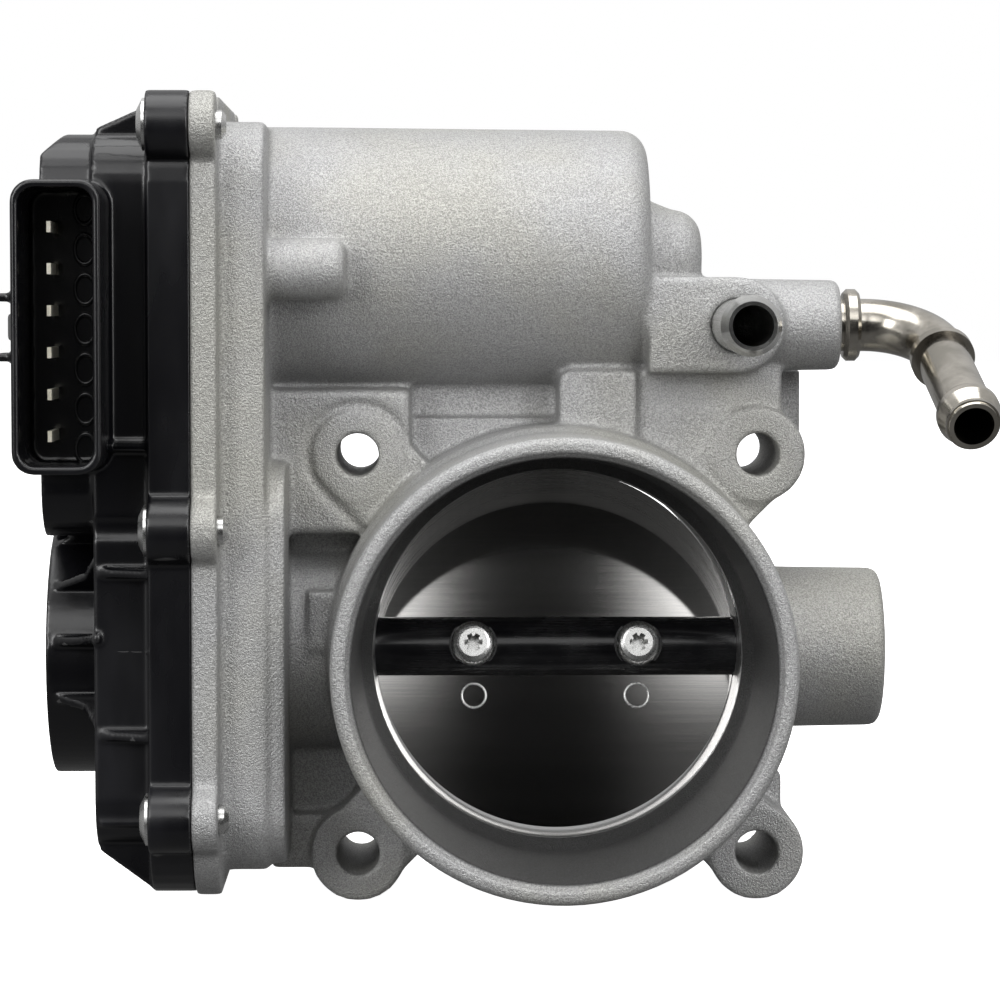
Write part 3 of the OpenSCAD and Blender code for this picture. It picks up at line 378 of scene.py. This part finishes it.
@dataclass(frozen=True)
class BrushedSheet:
    """Rolled plate brushed along the shaft."""

    tone: float = 0.62

    def make(self, name: str) -> bpy.types.Material:
        """Returns the material."""
        bench = Bench(name)
        hair = bench.noise(5200.0, 3.0, 0.7, bench.stretched((0.012, 1.0, 1.0)))
        streak = bench.noise(900.0, 3.0, 0.6, bench.stretched((0.02, 1.0, 1.0)))
        stain = bench.noise(70.0, 4.0, 0.6)
        tone = bench.mix(bench.span(hair, 0.3, 0.7), grey(self.tone * 0.93, 0.01),
                         grey(self.tone * 1.05, 0.02))
        tone = bench.mix(bench.span(stain, 0.55, 0.8, 0.0, 0.3), tone, grey(self.tone * 0.6, 0.03))
        rough = bench.span(streak, 0.3, 0.7, 0.05, 0.056)
        fine = bench.relief(hair, 0.0003 * MM, 0.5)
        return bench.finish(tone, rough, fine, 1.0)


@dataclass(frozen=True)
class PlatedSteel:
    """Turned or drawn steel under a thin coat."""

    coat: Coat = Coat.ZINC
    drawn_along: Optional[Axis] = None

    LOOKS = {
        Coat.ZINC: ((0.50, 0.50, 0.49), (0.70, 0.70, 0.68), 0.16, 0.26, 1.0),
        Coat.NICKEL: ((0.34, 0.32, 0.28), (0.52, 0.49, 0.44), 0.14, 0.26, 1.0),
        Coat.BLACK: ((0.004, 0.004, 0.005), (0.012, 0.012, 0.013), 0.16, 0.3, 0.0),
        Coat.BARE: ((0.62, 0.62, 0.61), (0.82, 0.82, 0.81), 0.22, 0.36, 1.0),
    }

    def make(self, name: str) -> bpy.types.Material:
        """Returns the material."""
        bench = Bench(name)
        dark, light, smooth, dull, metallic = self.LOOKS[self.coat]
        stretch = [1.0, 1.0, 1.0]
        if self.drawn_along is not None:
            stretch["XYZ".index(self.drawn_along.name)] = 0.03
        hair = bench.noise(3800.0, 2.0, 0.6, bench.stretched(tuple(stretch)))
        cloud = bench.noise(140.0, 3.0, 0.6)
        tone = bench.mix(bench.span(cloud, 0.35, 0.7), dark, light)
        rough = bench.span(bench.times(hair, cloud), 0.1, 0.42, smooth, dull)
        fine = bench.relief(hair, 0.0025 * MM, 0.7)
        return bench.finish(tone, rough, fine, metallic)


@dataclass(frozen=True)
class SoftRubber:
    """Matt black seal rubber."""

    def make(self, name: str) -> bpy.types.Material:
        """Returns the material."""
        bench = Bench(name)
        skin = bench.noise(1800.0, 3.0, 0.6)
        bloom = bench.noise(60.0, 3.0)
        tone = bench.mix(bench.span(bloom, 0.45, 0.75), grey(0.008), grey(0.028))
        return bench.finish(tone, bench.span(skin, 0.3, 0.7, 0.5, 0.68), bench.relief(skin, 0.02 * MM, 0.6))


@dataclass(frozen=True)
class FilledNylon:
    """Glass-filled nylon in its own colour, with short fibres in it."""

    colour: Colour = (0.62, 0.58, 0.47)

    def make(self, name: str) -> bpy.types.Material:
        """Returns the material."""
        bench = Bench(name)
        fibre = bench.noise(2600.0, 2.0, 0.6, bench.stretched((0.18, 1.0, 1.0), (0.3, 0.2, 0.4)))
        flow = bench.noise(45.0, 3.0, 0.5)
        dark = tuple(0.82 * part for part in self.colour)
        tone = bench.mix(bench.span(fibre, 0.4, 0.72), self.colour, dark)
        tone = bench.mix(bench.span(flow, 0.4, 0.8, 0.0, 0.4), tone, dark)
        bench.constants(subsurface_weight=0.05)
        return bench.finish(tone, bench.span(flow, 0.3, 0.7, 0.34, 0.5), bench.relief(fibre, 0.01 * MM, 0.6))


@dataclass(frozen=True)
class PressedMetal:
    """Matt metal with a fine even texture: cans, cups, magnets and carbon."""

    dark: Colour
    light: Colour
    metallic: float = 1.0
    rough: float = 0.4

    def make(self, name: str) -> bpy.types.Material:
        """Returns the material."""
        bench = Bench(name)
        grain = bench.noise(2400.0, 3.0, 0.6)
        cloud = bench.noise(80.0, 3.0, 0.6)
        tone = bench.mix(bench.span(bench.times(grain, cloud), 0.12, 0.4), self.dark, self.light)
        rough = bench.span(cloud, 0.3, 0.7, self.rough - 0.08, self.rough + 0.1)
        return bench.finish(tone, rough, bench.relief(grain, 0.015 * MM, 0.6), self.metallic)


@dataclass(frozen=True)
class StackedSheet:
    """Bands across the motor axis: core laminations or rows of enamelled wire."""

    dark: Colour
    light: Colour
    per_metre: float
    depth: float = 0.06 * MM
    rough: float = 0.3

    def make(self, name: str) -> bpy.types.Material:
        """Returns the material."""
        bench = Bench(name)
        rows = bench.bands(self.per_metre, Axis.X, 0.15)
        cloud = bench.noise(300.0, 2.0, 0.5)
        tone = bench.mix(bench.span(rows, 0.05, 0.5), self.dark, self.light)
        tone = bench.mix(bench.span(cloud, 0.4, 0.8, 0.0, 0.5), tone, self.dark)
        rough = bench.span(cloud, 0.3, 0.7, self.rough, self.rough + 0.15)
        return bench.finish(tone, rough, bench.relief(rows, self.depth), 1.0)


@dataclass(frozen=True)
class CircuitBoard:
    """Green solder mask over copper runs."""

    def make(self, name: str) -> bpy.types.Material:
        """Returns the material."""
        bench = Bench(name)
        runs = bench.bands(700.0, Axis.Z, 0.0)
        grain = bench.noise(900.0, 2.0)
        tone = bench.mix(bench.span(runs, 0.55, 0.62), (0.008, 0.075, 0.03), (0.02, 0.13, 0.05))
        tone = bench.mix(bench.span(grain, 0.6, 0.8, 0.0, 0.3), tone, (0.01, 0.05, 0.02))
        return bench.finish(tone, bench.span(grain, 0.3, 0.7, 0.2, 0.34), bench.relief(runs, 0.02 * MM, 0.8))


@dataclass(frozen=True)
class StudioPaper:
    """White paper that the part stands on."""

    glow: float = 1.0

    def make(self, name: str) -> bpy.types.Material:
        """Returns the material."""
        bench = Bench(name)
        fibre = bench.noise(400.0, 3.0, 0.6)
        tone = bench.mix(bench.span(fibre, 0.2, 0.8), grey(0.86), grey(0.9))
        bench.shader.inputs["Emission Color"].default_value = (1.0, 1.0, 1.0, 1.0)
        bench.shader.inputs["Emission Strength"].default_value = self.glow
        return bench.finish(tone, 0.9)


class Finish(Protocol):
    """Any finish that can make its material."""

    def make(self, name: str) -> bpy.types.Material:
        """Returns the material."""


FINISHES: dict[str, Finish] = {
    "cast_aluminium": CastAluminium(),
    "cover_plastic": MouldedPlastic(),
    "brushed_plate": BrushedSheet(),
    "blackened_steel": PlatedSteel(Coat.BLACK, Axis.X),
    "bright_steel": PlatedSteel(Coat.BARE),
    "machined_steel": PlatedSteel(Coat.BARE, Axis.X),
    "nipple_steel": PlatedSteel(Coat.ZINC, Axis.Y),
    "stainless_tube": PlatedSteel(Coat.NICKEL),
    "rubber_black": SoftRubber(),
    "terminal_metal": PressedMetal((0.80, 0.76, 0.60), (0.95, 0.92, 0.80), 0.45, 0.3),
    "circuit_board": CircuitBoard(),
    "gear_nylon": FilledNylon(),
    "magnet_dark": PressedMetal((0.02, 0.02, 0.022), (0.07, 0.07, 0.075), 0.4, 0.5),
    "motor_steel": PressedMetal((0.40, 0.40, 0.36), (0.60, 0.60, 0.55), 1.0, 0.34),
    "motor_plastic": FilledNylon((0.02, 0.02, 0.022)),
    "carbon": PressedMetal((0.012, 0.012, 0.012), (0.05, 0.05, 0.05), 0.2, 0.6),
    "core_steel": StackedSheet((0.10, 0.10, 0.11), (0.42, 0.42, 0.43), 1400.0),
    "copper": StackedSheet((0.22, 0.06, 0.02), (0.72, 0.30, 0.12), 1900.0),
    "pinion_brass": PressedMetal((0.50, 0.38, 0.16), (0.78, 0.62, 0.30), 1.0, 0.26),
}


class FinishShelf:
    """Makes each finish once and hands it out by its slot name."""

    def __init__(self) -> None:
        """Starts with nothing made."""
        self.made: dict[str, bpy.types.Material] = {}

    def take(self, slot: str) -> bpy.types.Material:
        """Returns the material of a slot, and makes it at its first use."""
        if slot not in self.made:
            self.made[slot] = FINISHES[slot].make(slot)
        return self.made[slot]

    def dress(self, piece: bpy.types.Object, slot: str) -> None:
        """Puts the finish on every material slot of a piece."""
        material = self.take(slot)
        if not piece.data.materials:
            piece.data.materials.append(material)
        for index in range(len(piece.material_slots)):
            piece.material_slots[index].material = material

    def dress_nodes(self) -> None:
        """Gives each CAD node the finish that the record names."""
        for row in frame["record"]["subparts"]:
            if row["node"] in frame["nodes"]:
                self.dress(frame["nodes"][row["node"]], row["material_slot"])


# ---- Hand tools ----

MERGE_GAP = 0.002 * MM
ROUND_SIDES = 48
RING_SIDES = 40
WIRE_SIDES = 10
BEAD_RESOLUTION = 3
BEVEL_STEPS = 3


def deselect() -> None:
    """Clears the selection."""
    for piece in bpy.context.selected_objects:
        piece.select_set(False)
    bpy.context.view_layer.objects.active = None


def hold(piece: bpy.types.Object) -> None:
    """Selects one piece and makes it active."""
    deselect()
    piece.select_set(True)
    bpy.context.view_layer.objects.active = piece


def settle(piece: bpy.types.Object, name: str) -> bpy.types.Object:
    """Names a piece and moves its place, turn and size into its mesh."""
    hold(piece)
    bpy.ops.object.transform_apply(location=True, rotation=True, scale=True)
    piece.name = name
    piece.data.name = name
    return piece


def apply(piece: bpy.types.Object, kind: str, **settings: object) -> None:
    """Adds a modifier with its settings and applies it.

    Args:
        piece: The piece to change.
        kind: Blender's name of the modifier.
        settings: Its properties.
    """
    modifier = piece.modifiers.new(kind.lower(), kind)
    for key, value in settings.items():
        setattr(modifier, key, value)
    hold(piece)
    bpy.ops.object.modifier_apply(modifier=modifier.name)


def merge(piece: bpy.types.Object) -> None:
    """Merges doubled points and turns the faces outwards."""
    hold(piece)
    bpy.ops.object.mode_set(mode="EDIT")
    bpy.ops.mesh.select_all(action="SELECT")
    bpy.ops.mesh.remove_doubles(threshold=MERGE_GAP)
    bpy.ops.mesh.normals_make_consistent(inside=False)
    bpy.ops.object.mode_set(mode="OBJECT")


def join(first: bpy.types.Object, others: Iterable[bpy.types.Object]) -> bpy.types.Object:
    """Joins pieces into the first one and returns it."""
    hold(first)
    for piece in others:
        piece.select_set(True)
    bpy.ops.object.join()
    return first


def soften(piece: bpy.types.Object, width: float) -> None:
    """Rounds every edge of a simple closed piece in edit mode."""
    hold(piece)
    bpy.ops.object.mode_set(mode="EDIT")
    bpy.ops.mesh.select_all(action="SELECT")
    bpy.ops.mesh.bevel(offset=width, segments=BEVEL_STEPS, affect="EDGES")
    bpy.ops.object.mode_set(mode="OBJECT")


def copy_node(node: str, name: str) -> bpy.types.Object:
    """Returns a merged copy of a CAD node's mesh as a new piece."""
    piece = bpy.data.objects.new(name, frame["nodes"][node].data.copy())
    bpy.context.scene.collection.objects.link(piece)
    piece.data.name = name
    merge(piece)
    return piece


def block(name: str, low: Point, high: Point, round_off: float) -> bpy.types.Object:
    """Returns a block with rounded edges between two corners, all in mm."""
    centre = [(a + b) / 2 * MM for a, b in zip(low, high)]
    deselect()
    bpy.ops.mesh.primitive_cube_add(size=1, location=centre)
    piece = bpy.context.active_object
    piece.scale = [(b - a) * MM for a, b in zip(low, high)]
    settle(piece, name)
    soften(piece, round_off * MM)
    return piece


def disc(name: str, centre: Point, axis: Axis, radius: float, height: float, rim: float) -> bpy.types.Object:
    """Returns a round bar with rounded rims, all in mm."""
    deselect()
    bpy.ops.mesh.primitive_cylinder_add(vertices=ROUND_SIDES, radius=radius * MM, depth=height * MM,
                                        location=[part * MM for part in centre])
    piece = bpy.context.active_object
    piece.rotation_euler = Vector((0, 0, 1)).rotation_difference(Vector(axis.value)).to_euler()
    settle(piece, name)
    apply(piece, "BEVEL", width=rim * MM, segments=3, limit_method="ANGLE", angle_limit=math.radians(50))
    return piece


def ring(name: str, centre: Point, axis: Axis, radius: float, wire: float,
         stretch: float = 1.0) -> bpy.types.Object:
    """Returns a round or oval wire ring; the stretch is along Z, and sizes are in mm."""
    deselect()
    bpy.ops.mesh.primitive_torus_add(major_radius=radius * MM, minor_radius=wire * MM,
                                     major_segments=RING_SIDES, minor_segments=WIRE_SIDES,
                                     location=[part * MM for part in centre])
    piece = bpy.context.active_object
    piece.rotation_euler = Vector((0, 0, 1)).rotation_difference(Vector(axis.value)).to_euler()
    settle(piece, name)
    if stretch != 1.0:
        hold(piece)
        bpy.ops.object.mode_set(mode="EDIT")
        bpy.ops.mesh.select_all(action="SELECT")
        bpy.ops.transform.resize(value=(1.0, 1.0, stretch), center_override=[part * MM for part in centre])
        bpy.ops.object.mode_set(mode="OBJECT")
    return piece


def bead(name: str, route: Sequence[Point], radius: float) -> bpy.types.Object:
    """Returns a closed round bar along a route of points, all in mm.

    Args:
        name: Name of the piece.
        route: Points of the centre line.
        radius: Radius of the bar.

    Returns:
        The mesh piece.
    """
    curve = bpy.data.curves.new(name, "CURVE")
    curve.dimensions = "3D"
    curve.bevel_depth = radius * MM
    curve.bevel_resolution = BEAD_RESOLUTION
    curve.use_fill_caps = True
    spline = curve.splines.new("POLY")
    spline.points.add(len(route) - 1)
    for point, place in zip(spline.points, route):
        point.co = (*[part * MM for part in place], 1.0)
    piece = bpy.data.objects.new(name, curve)
    bpy.context.scene.collection.objects.link(piece)
    hold(piece)
    bpy.ops.object.convert(target="MESH")
    piece = bpy.context.active_object
    piece.name = name
    merge(piece)
    return piece


def arc_xz(centre: Point, radius: float, start: float, end: float, steps: int) -> list[Point]:
    """Returns points of an arc parallel to the XZ plane, in degrees and mm."""
    x, y, z = centre
    angles = [math.radians(start + (end - start) * step / steps) for step in range(steps + 1)]
    return [(x + radius * math.cos(angle), y, z + radius * math.sin(angle)) for angle in angles]


@dataclass
class Recast:
    """Gives a sharp CAD body the soft edges of a casting or a moulding.

    The body is rebuilt on a fine grid, smoothed, thinned, and its machined
    faces are then laid back on the CAD surface.
    """

    grid: float
    passes: int
    triangles: int
    push: float = 0.5
    quick_coarser: float = 1.8

    def run(self, piece: bpy.types.Object, node: str, machined: Callable[[Vector], bool]) -> None:
        """Reworks a piece.

        Args:
            piece: The joined copy.
            node: CAD node that gives the machined surfaces.
            machined: Says of a point whether it lies on a machined surface.
        """
        grid = self.grid * 1.0
        apply(piece, "REMESH", mode="VOXEL", voxel_size=grid, adaptivity=0.0)
        apply(piece, "SMOOTH", factor=self.push, iterations=self.passes)
        count = self.count_triangles(piece)
        if count > self.triangles:
            apply(piece, "DECIMATE", decimate_type="COLLAPSE", ratio=self.triangles / count)
        group = piece.vertex_groups.new(name="machined")
        chosen = [vertex.index for vertex in piece.data.vertices if machined(vertex.co)]
        group.add(chosen, 1.0, "REPLACE")
        apply(piece, "SHRINKWRAP", wrap_method="NEAREST_SURFACEPOINT", target=frame["nodes"][node],
              vertex_group=group.name)
        hold(piece)
        bpy.ops.object.shade_smooth()
        log.info("%s: %d triangles, %d points laid on the CAD surface", piece.name,
                 self.count_triangles(piece), len(chosen))

    @staticmethod
    def count_triangles(piece: bpy.types.Object) -> int:
        """Returns how many triangles a mesh comes to."""
        return sum(len(face.vertices) - 2 for face in piece.data.polygons)


# ---- Sub-assemblies ----


@dataclass
class Housing:
    """The aluminium casting with its ears, pads, ribs and engraved outlines. Sizes are in mm."""

    shelf: FinishShelf
    bolt_offset: float = 32.7
    ear_r: float = 7.8
    hole_r: float = 3.5
    ear_front: float = -35.8
    plate_front: float = -34.4
    block_front: float = -35.9
    bore_r: float = 30.0
    bore_depth: float = 33.0
    lip_y: float = -66.0
    lip_depth: float = 2.0
    lip_reach: float = 37.6
    skin_low: tuple[float, float] = (-50.0, 19.8)
    skin_high: tuple[float, float] = (-24.2, 43.2)
    ridge_x: float = 12.2
    ridge_z: tuple[float, float] = (45.6, 34.0)
    ridge_r: float = 0.75
    ear_groove_r: float = 0.95
    coolant_groove_r: float = 0.55
    hole_cut: float = 8.0
    bore_snap: float = 0.45
    bore_past: float = 0.2
    face_snap: float = 0.35
    face_in: float = 0.5
    casting: Recast = field(default_factory=lambda: Recast(0.55 * MM, 7, 188000))

    def ear_groove(self) -> bpy.types.Object:
        """Returns the cutter of the groove round the ear beside the gear case."""
        centre = (-self.bolt_offset, self.ear_front + 0.1, self.bolt_offset)
        reach = self.ear_r + 0.4
        slope = math.sqrt(0.5)
        tail = [self.moved(centre, (step - reach) * slope, -(step + reach) * slope)
                for step in (13.0, 9.0, 4.0)]
        over = arc_xz(centre, reach, 225, 32, 30)
        flare = [self.moved(centre, 9.0, -1.0), self.moved(centre, 10.6, -3.6)]
        return bead("ear_groove", tail + over + flare, self.ear_groove_r)

    def coolant_groove(self) -> bpy.types.Object:
        """Returns the cutter of the line over the ear below the coolant pad."""
        centre = (self.bolt_offset, self.ear_front + 0.75, self.bolt_offset)
        reach = self.ear_r + 0.35
        start = [(x, centre[1], self.bolt_offset + reach) for x in (13.6, 22.0)]
        return bead("coolant_groove", start + arc_xz(centre, reach, 90, 40, 10), self.coolant_groove_r)

    @staticmethod
    def moved(point: Point, across: float, up: float) -> Point:
        """Returns a point moved along X and Z."""
        return (point[0] + across, point[1], point[2] + up)

    def cut(self, piece: bpy.types.Object, cutter: bpy.types.Object) -> None:
        """Takes the shape of a cutter out of a piece and throws the cutter away."""
        apply(piece, "BOOLEAN", object=cutter, operation="DIFFERENCE", solver="EXACT")
        bpy.data.objects.remove(cutter)

    def plate_skin(self) -> bpy.types.Object:
        """Returns the skin that brings the ear plate level with its ear, with the groove and hole cut."""
        (left, bottom), (right, top) = self.skin_low, self.skin_high
        skin = block("ear_plate_skin", (left, self.ear_front + 0.15, bottom),
                     (right, self.plate_front + 0.6, top), 0.5)
        hole_centre = (-self.bolt_offset, self.plate_front + 0.4, self.bolt_offset)
        self.cut(skin, self.ear_groove())
        self.cut(skin, disc("ear_hole", hole_centre, Axis.Y, self.hole_r, self.hole_cut, 0.1))
        return skin

    def ridge(self) -> bpy.types.Object:
        """Returns the upright ridge beside the block under the coolant pad."""
        route = [(self.ridge_x, self.block_front + 0.1, z) for z in self.ridge_z]
        return bead("ridge", route, self.ridge_r)

    def machined(self, point: Vector) -> bool:
        """Tells whether a point lies in the bore, on the manifold face or on the lip."""
        away = math.hypot(point.x, point.z) / MM
        y = point.y / MM
        in_bore = abs(away - self.bore_r) < self.bore_snap and -self.bore_depth < y < self.bore_past
        on_face = abs(y) < self.face_snap and away > self.bore_r - self.face_in
        on_lip = y < self.lip_y + self.lip_depth and away < self.lip_reach
        return in_bore or on_face or on_lip

    def build(self) -> None:
        """Makes the casting and lets it stand for its CAD node."""
        piece = copy_node("throttle_housing", "housing_casting")
        for cutter in (self.ear_groove(), self.coolant_groove()):
            self.cut(piece, cutter)
        join(piece, [self.plate_skin(), self.ridge()])
        self.casting.run(piece, "throttle_housing", self.machined)
        self.shelf.dress(piece, "cast_aluminium")
        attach(piece, Body.HOUSING.value)
        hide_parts("throttle_housing")
        log.info("housing casting in place")


@dataclass
class Cover:
    """The black moulded cover with its connector. Sizes are in mm."""

    shelf: FinishShelf
    joint_x: float = -58.5
    socket_floor_y: float = -51.0
    socket_x: float = -75.4
    socket_z: float = 53.2
    pocket_pitch: float = 6.3
    pocket_r: float = 1.55
    rim_r: float = 0.3
    pocket_stretch: float = 1.5
    pockets: int = 7
    flash_r: float = 0.22
    moulding: Recast = field(default_factory=lambda: Recast(0.36 * MM, 4, 188000))

    def flash_marks(self) -> list[bpy.types.Object]:
        """Returns the thin parting lines on the cover."""
        routes = {
            "parting_low": [(-65.6, -56.4, 16.0), (-72.0, -56.2, 16.0)],
            "parting_mid": [(-65.6, -56.4, 2.4), (-70.4, -55.6, 2.4)],
            "parting_top": [(-65.4, -52.0, 82.0), (-74.0, -51.0, 82.0)],
        }
        return [bead(name, route, self.flash_r) for name, route in routes.items()]

    def pocket_rings(self) -> bpy.types.Object:
        """Returns the row of oval rims on the floor of the connector."""
        rims = []
        for index in range(self.pockets):
            z = self.socket_z + (index - (self.pockets - 1) / 2) * self.pocket_pitch
            centre = (self.socket_x, self.socket_floor_y - 0.1, z)
            rims.append(ring(f"rim_{index}", centre, Axis.Y, self.pocket_r, self.rim_r, self.pocket_stretch))
        piece = join(rims[0], rims[1:])
        piece.name = piece.data.name = "connector_pocket_rims"
        return piece

    def build(self) -> None:
        """Makes the cover and its connector details."""
        piece = copy_node("gear_cover", "moulded_cover")
        join(piece, self.flash_marks())
        self.moulding.run(piece, "gear_cover", lambda point: point.x / MM > self.joint_x - 0.2)
        rims = self.pocket_rings()
        hold(rims)
        bpy.ops.object.shade_smooth()
        for part in (piece, rims):
            self.shelf.dress(part, "cover_plastic")
            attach(part, Body.HOUSING.value)
        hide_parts("gear_cover")
        log.info("cover and connector in place")


@dataclass
class Throttle:
    """The staked rings on the throttle plate. Sizes are in mm."""

    shelf: FinishShelf
    shaft_y: float = -22.0
    tilt: float = 12.0
    plate_t: float = 2.0
    ring_x: float = 13.6
    ring_drop: float = 8.3
    ring_r: float = 2.0
    wire_r: float = 0.2

    def stake_rings(self) -> bpy.types.Object:
        """Returns the two rings pressed up below the shaft."""
        centres = [(side * self.ring_x, -self.plate_t / 2, -self.ring_drop) for side in (-1, 1)]
        marks = [ring("stake", centre, Axis.Y, self.ring_r, self.wire_r) for centre in centres]
        piece = join(marks[0], marks[1:])
        hold(piece)
        bpy.ops.object.mode_set(mode="EDIT")
        bpy.ops.mesh.select_all(action="SELECT")
        bpy.ops.transform.rotate(value=math.radians(self.tilt), orient_axis="X", center_override=(0, 0, 0))
        bpy.ops.transform.translate(value=(0, self.shaft_y * MM, 0))
        bpy.ops.object.mode_set(mode="OBJECT")
        piece.name = piece.data.name = "plate_stake_rings"
        return piece

    def build(self) -> None:
        """Makes the rings and lets them turn with the throttle."""
        piece = self.stake_rings()
        hold(piece)
        bpy.ops.object.shade_smooth()
        self.shelf.dress(piece, "bright_steel")
        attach(piece, Body.THROTTLE.value)
        log.info("throttle plate details in place")


@dataclass
class Studio:
    """Floor, soft lights, white surroundings and the camera. Sizes are in metres."""

    floor_z: float = -0.0406
    eye: Point = (-0.02233, -0.622, 0.05625)
    aim: Point = (0.0219444, 1.0, -0.0527778)
    lens: float = 129.6
    look_at: Point = (0.0, -0.02, 0.025)
    gap_x: float = 0.032
    gap_width: tuple[float, float] = (0.016, 0.052)
    front_y: tuple[float, float] = (-0.9, -0.6)
    card_near: tuple[float, float] = (0.02, 0.055)
    card_far: tuple[float, float] = (0.25, 0.5)
    card_glow: float = 3.0
    card_height: tuple[float, float] = (0.295, 0.345)
    low_front: tuple[float, float] = (0.29, 0.345)
    low_front_y: tuple[float, float] = (-0.93, -0.8)
    low_dark: float = 0.84
    sky_z: tuple[float, float] = (-0.5, 0.9)
    sky: tuple[float, float] = (0.2, 1.0)

    def floor(self) -> None:
        """Lays the paper floor."""
        deselect()
        bpy.ops.mesh.primitive_plane_add(size=12, location=(0, 0, self.floor_z))
        piece = settle(bpy.context.active_object, "studio_floor")
        piece.data.materials.append(StudioPaper().make("studio_paper"))
        piece.visible_diffuse = False
        piece.visible_glossy = False

    def lamp(self, name: str, place: Point, size: tuple[float, float], watts: float) -> None:
        """Hangs a soft box that points at the part.

        Args:
            name: Name of the light.
            place: Where it hangs.
            size: Width and height of its face.
            watts: Power.
        """
        deselect()
        bpy.ops.object.light_add(type="AREA", location=place)
        light = bpy.context.active_object
        light.name = name
        light.data.shape = "RECTANGLE"
        light.data.size, light.data.size_y = size
        light.data.energy = watts
        aim = Vector(self.look_at) - Vector(place)
        light.rotation_euler = aim.to_track_quat("-Z", "Y").to_euler()

    def glow(self, graph: Graph, way: dict[str, Socket]) -> Socket:
        """Returns how bright the surroundings are in a direction.

        Args:
            graph: The graph of the surroundings.
            way: The three parts of the direction.

        Returns:
            The strength socket.
        """
        aside = graph.sum(graph.sum(way["X"], self.gap_x, "SUBTRACT"), kind="ABSOLUTE")
        front = graph.span(way["Y"], *self.front_y, 1.0, 0.0)
        gap = graph.times(graph.span(aside, *self.gap_width, 1.0, 0.0), front)
        low = graph.times(graph.span(way["Z"], *self.low_front, self.low_dark, 0.0),
                          graph.span(way["Y"], *self.low_front_y, 1.0, 0.0))
        open_share = graph.times(graph.sum(1.0, gap, "SUBTRACT"), graph.sum(1.0, low, "SUBTRACT"))
        sky = graph.times(open_share, graph.span(way["Z"], *self.sky_z, *self.sky))
        cards = graph.times(graph.span(aside, *self.card_near, 0.0, self.card_glow),
                            graph.span(aside, *self.card_far, 1.0, 0.0), front,
                            graph.span(way["Z"], *self.card_height))
        return graph.sum(sky, cards)

    def surroundings(self) -> None:
        """Sets white behind the part, and for reflections a bright sky and two cards beside a dark gap."""
        world = bpy.data.worlds.new("studio_world")
        bpy.context.scene.world = world
        world.use_nodes = True
        graph = Graph(world.node_tree)
        nodes, links = graph.nodes, graph.links
        nodes.clear()
        out = nodes.new("ShaderNodeOutputWorld")
        way = graph.split(nodes.new("ShaderNodeTexCoord").outputs["Generated"])
        soft = nodes.new("ShaderNodeBackground")
        links.new(self.glow(graph, way), soft.inputs["Strength"])
        white = nodes.new("ShaderNodeBackground")
        graph.plug(white.inputs["Strength"], 1.0)
        graph.plug(white.inputs["Color"], grey(1.0))
        path = nodes.new("ShaderNodeLightPath")
        pick = nodes.new("ShaderNodeMixShader")
        links.new(path.outputs["Is Camera Ray"], pick.inputs[0])
        links.new(soft.outputs[0], pick.inputs[1])
        links.new(white.outputs[0], pick.inputs[2])
        links.new(pick.outputs[0], out.inputs["Surface"])

    def camera(self) -> None:
        """Sets the camera at its place."""
        deselect()
        bpy.ops.object.camera_add(location=self.eye)
        camera = bpy.context.active_object
        camera.rotation_euler = Vector(self.aim).to_track_quat("-Z", "Y").to_euler()
        camera.data.sensor_width = 36
        camera.data.lens = self.lens
        camera.data.clip_start = 0.01
        bpy.context.scene.camera = camera

    def build(self) -> None:
        """Makes the studio."""
        self.camera()
        self.floor()
        self.surroundings()
        self.lamp("top_box", (0.0, -0.10, 0.55), (0.6, 0.45), 2.6)
        self.lamp("left_box", (-0.45, -0.60, 0.30), (0.25, 0.5), 2.4)
        self.lamp("right_box", (0.45, -0.60, 0.30), (0.25, 0.5), 2.4)
        view = bpy.context.scene.view_settings
        view.view_transform = "Standard"
        view.look = "None"
        log.info("studio ready")


def main() -> None:
    """Builds every sub-assembly in order."""
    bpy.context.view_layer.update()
    shelf = FinishShelf()
    shelf.dress_nodes()
    Studio().build()
    for part in (Housing(shelf), Cover(shelf), Throttle(shelf)):
        part.build()


if __name__ == "__main__":
    main()
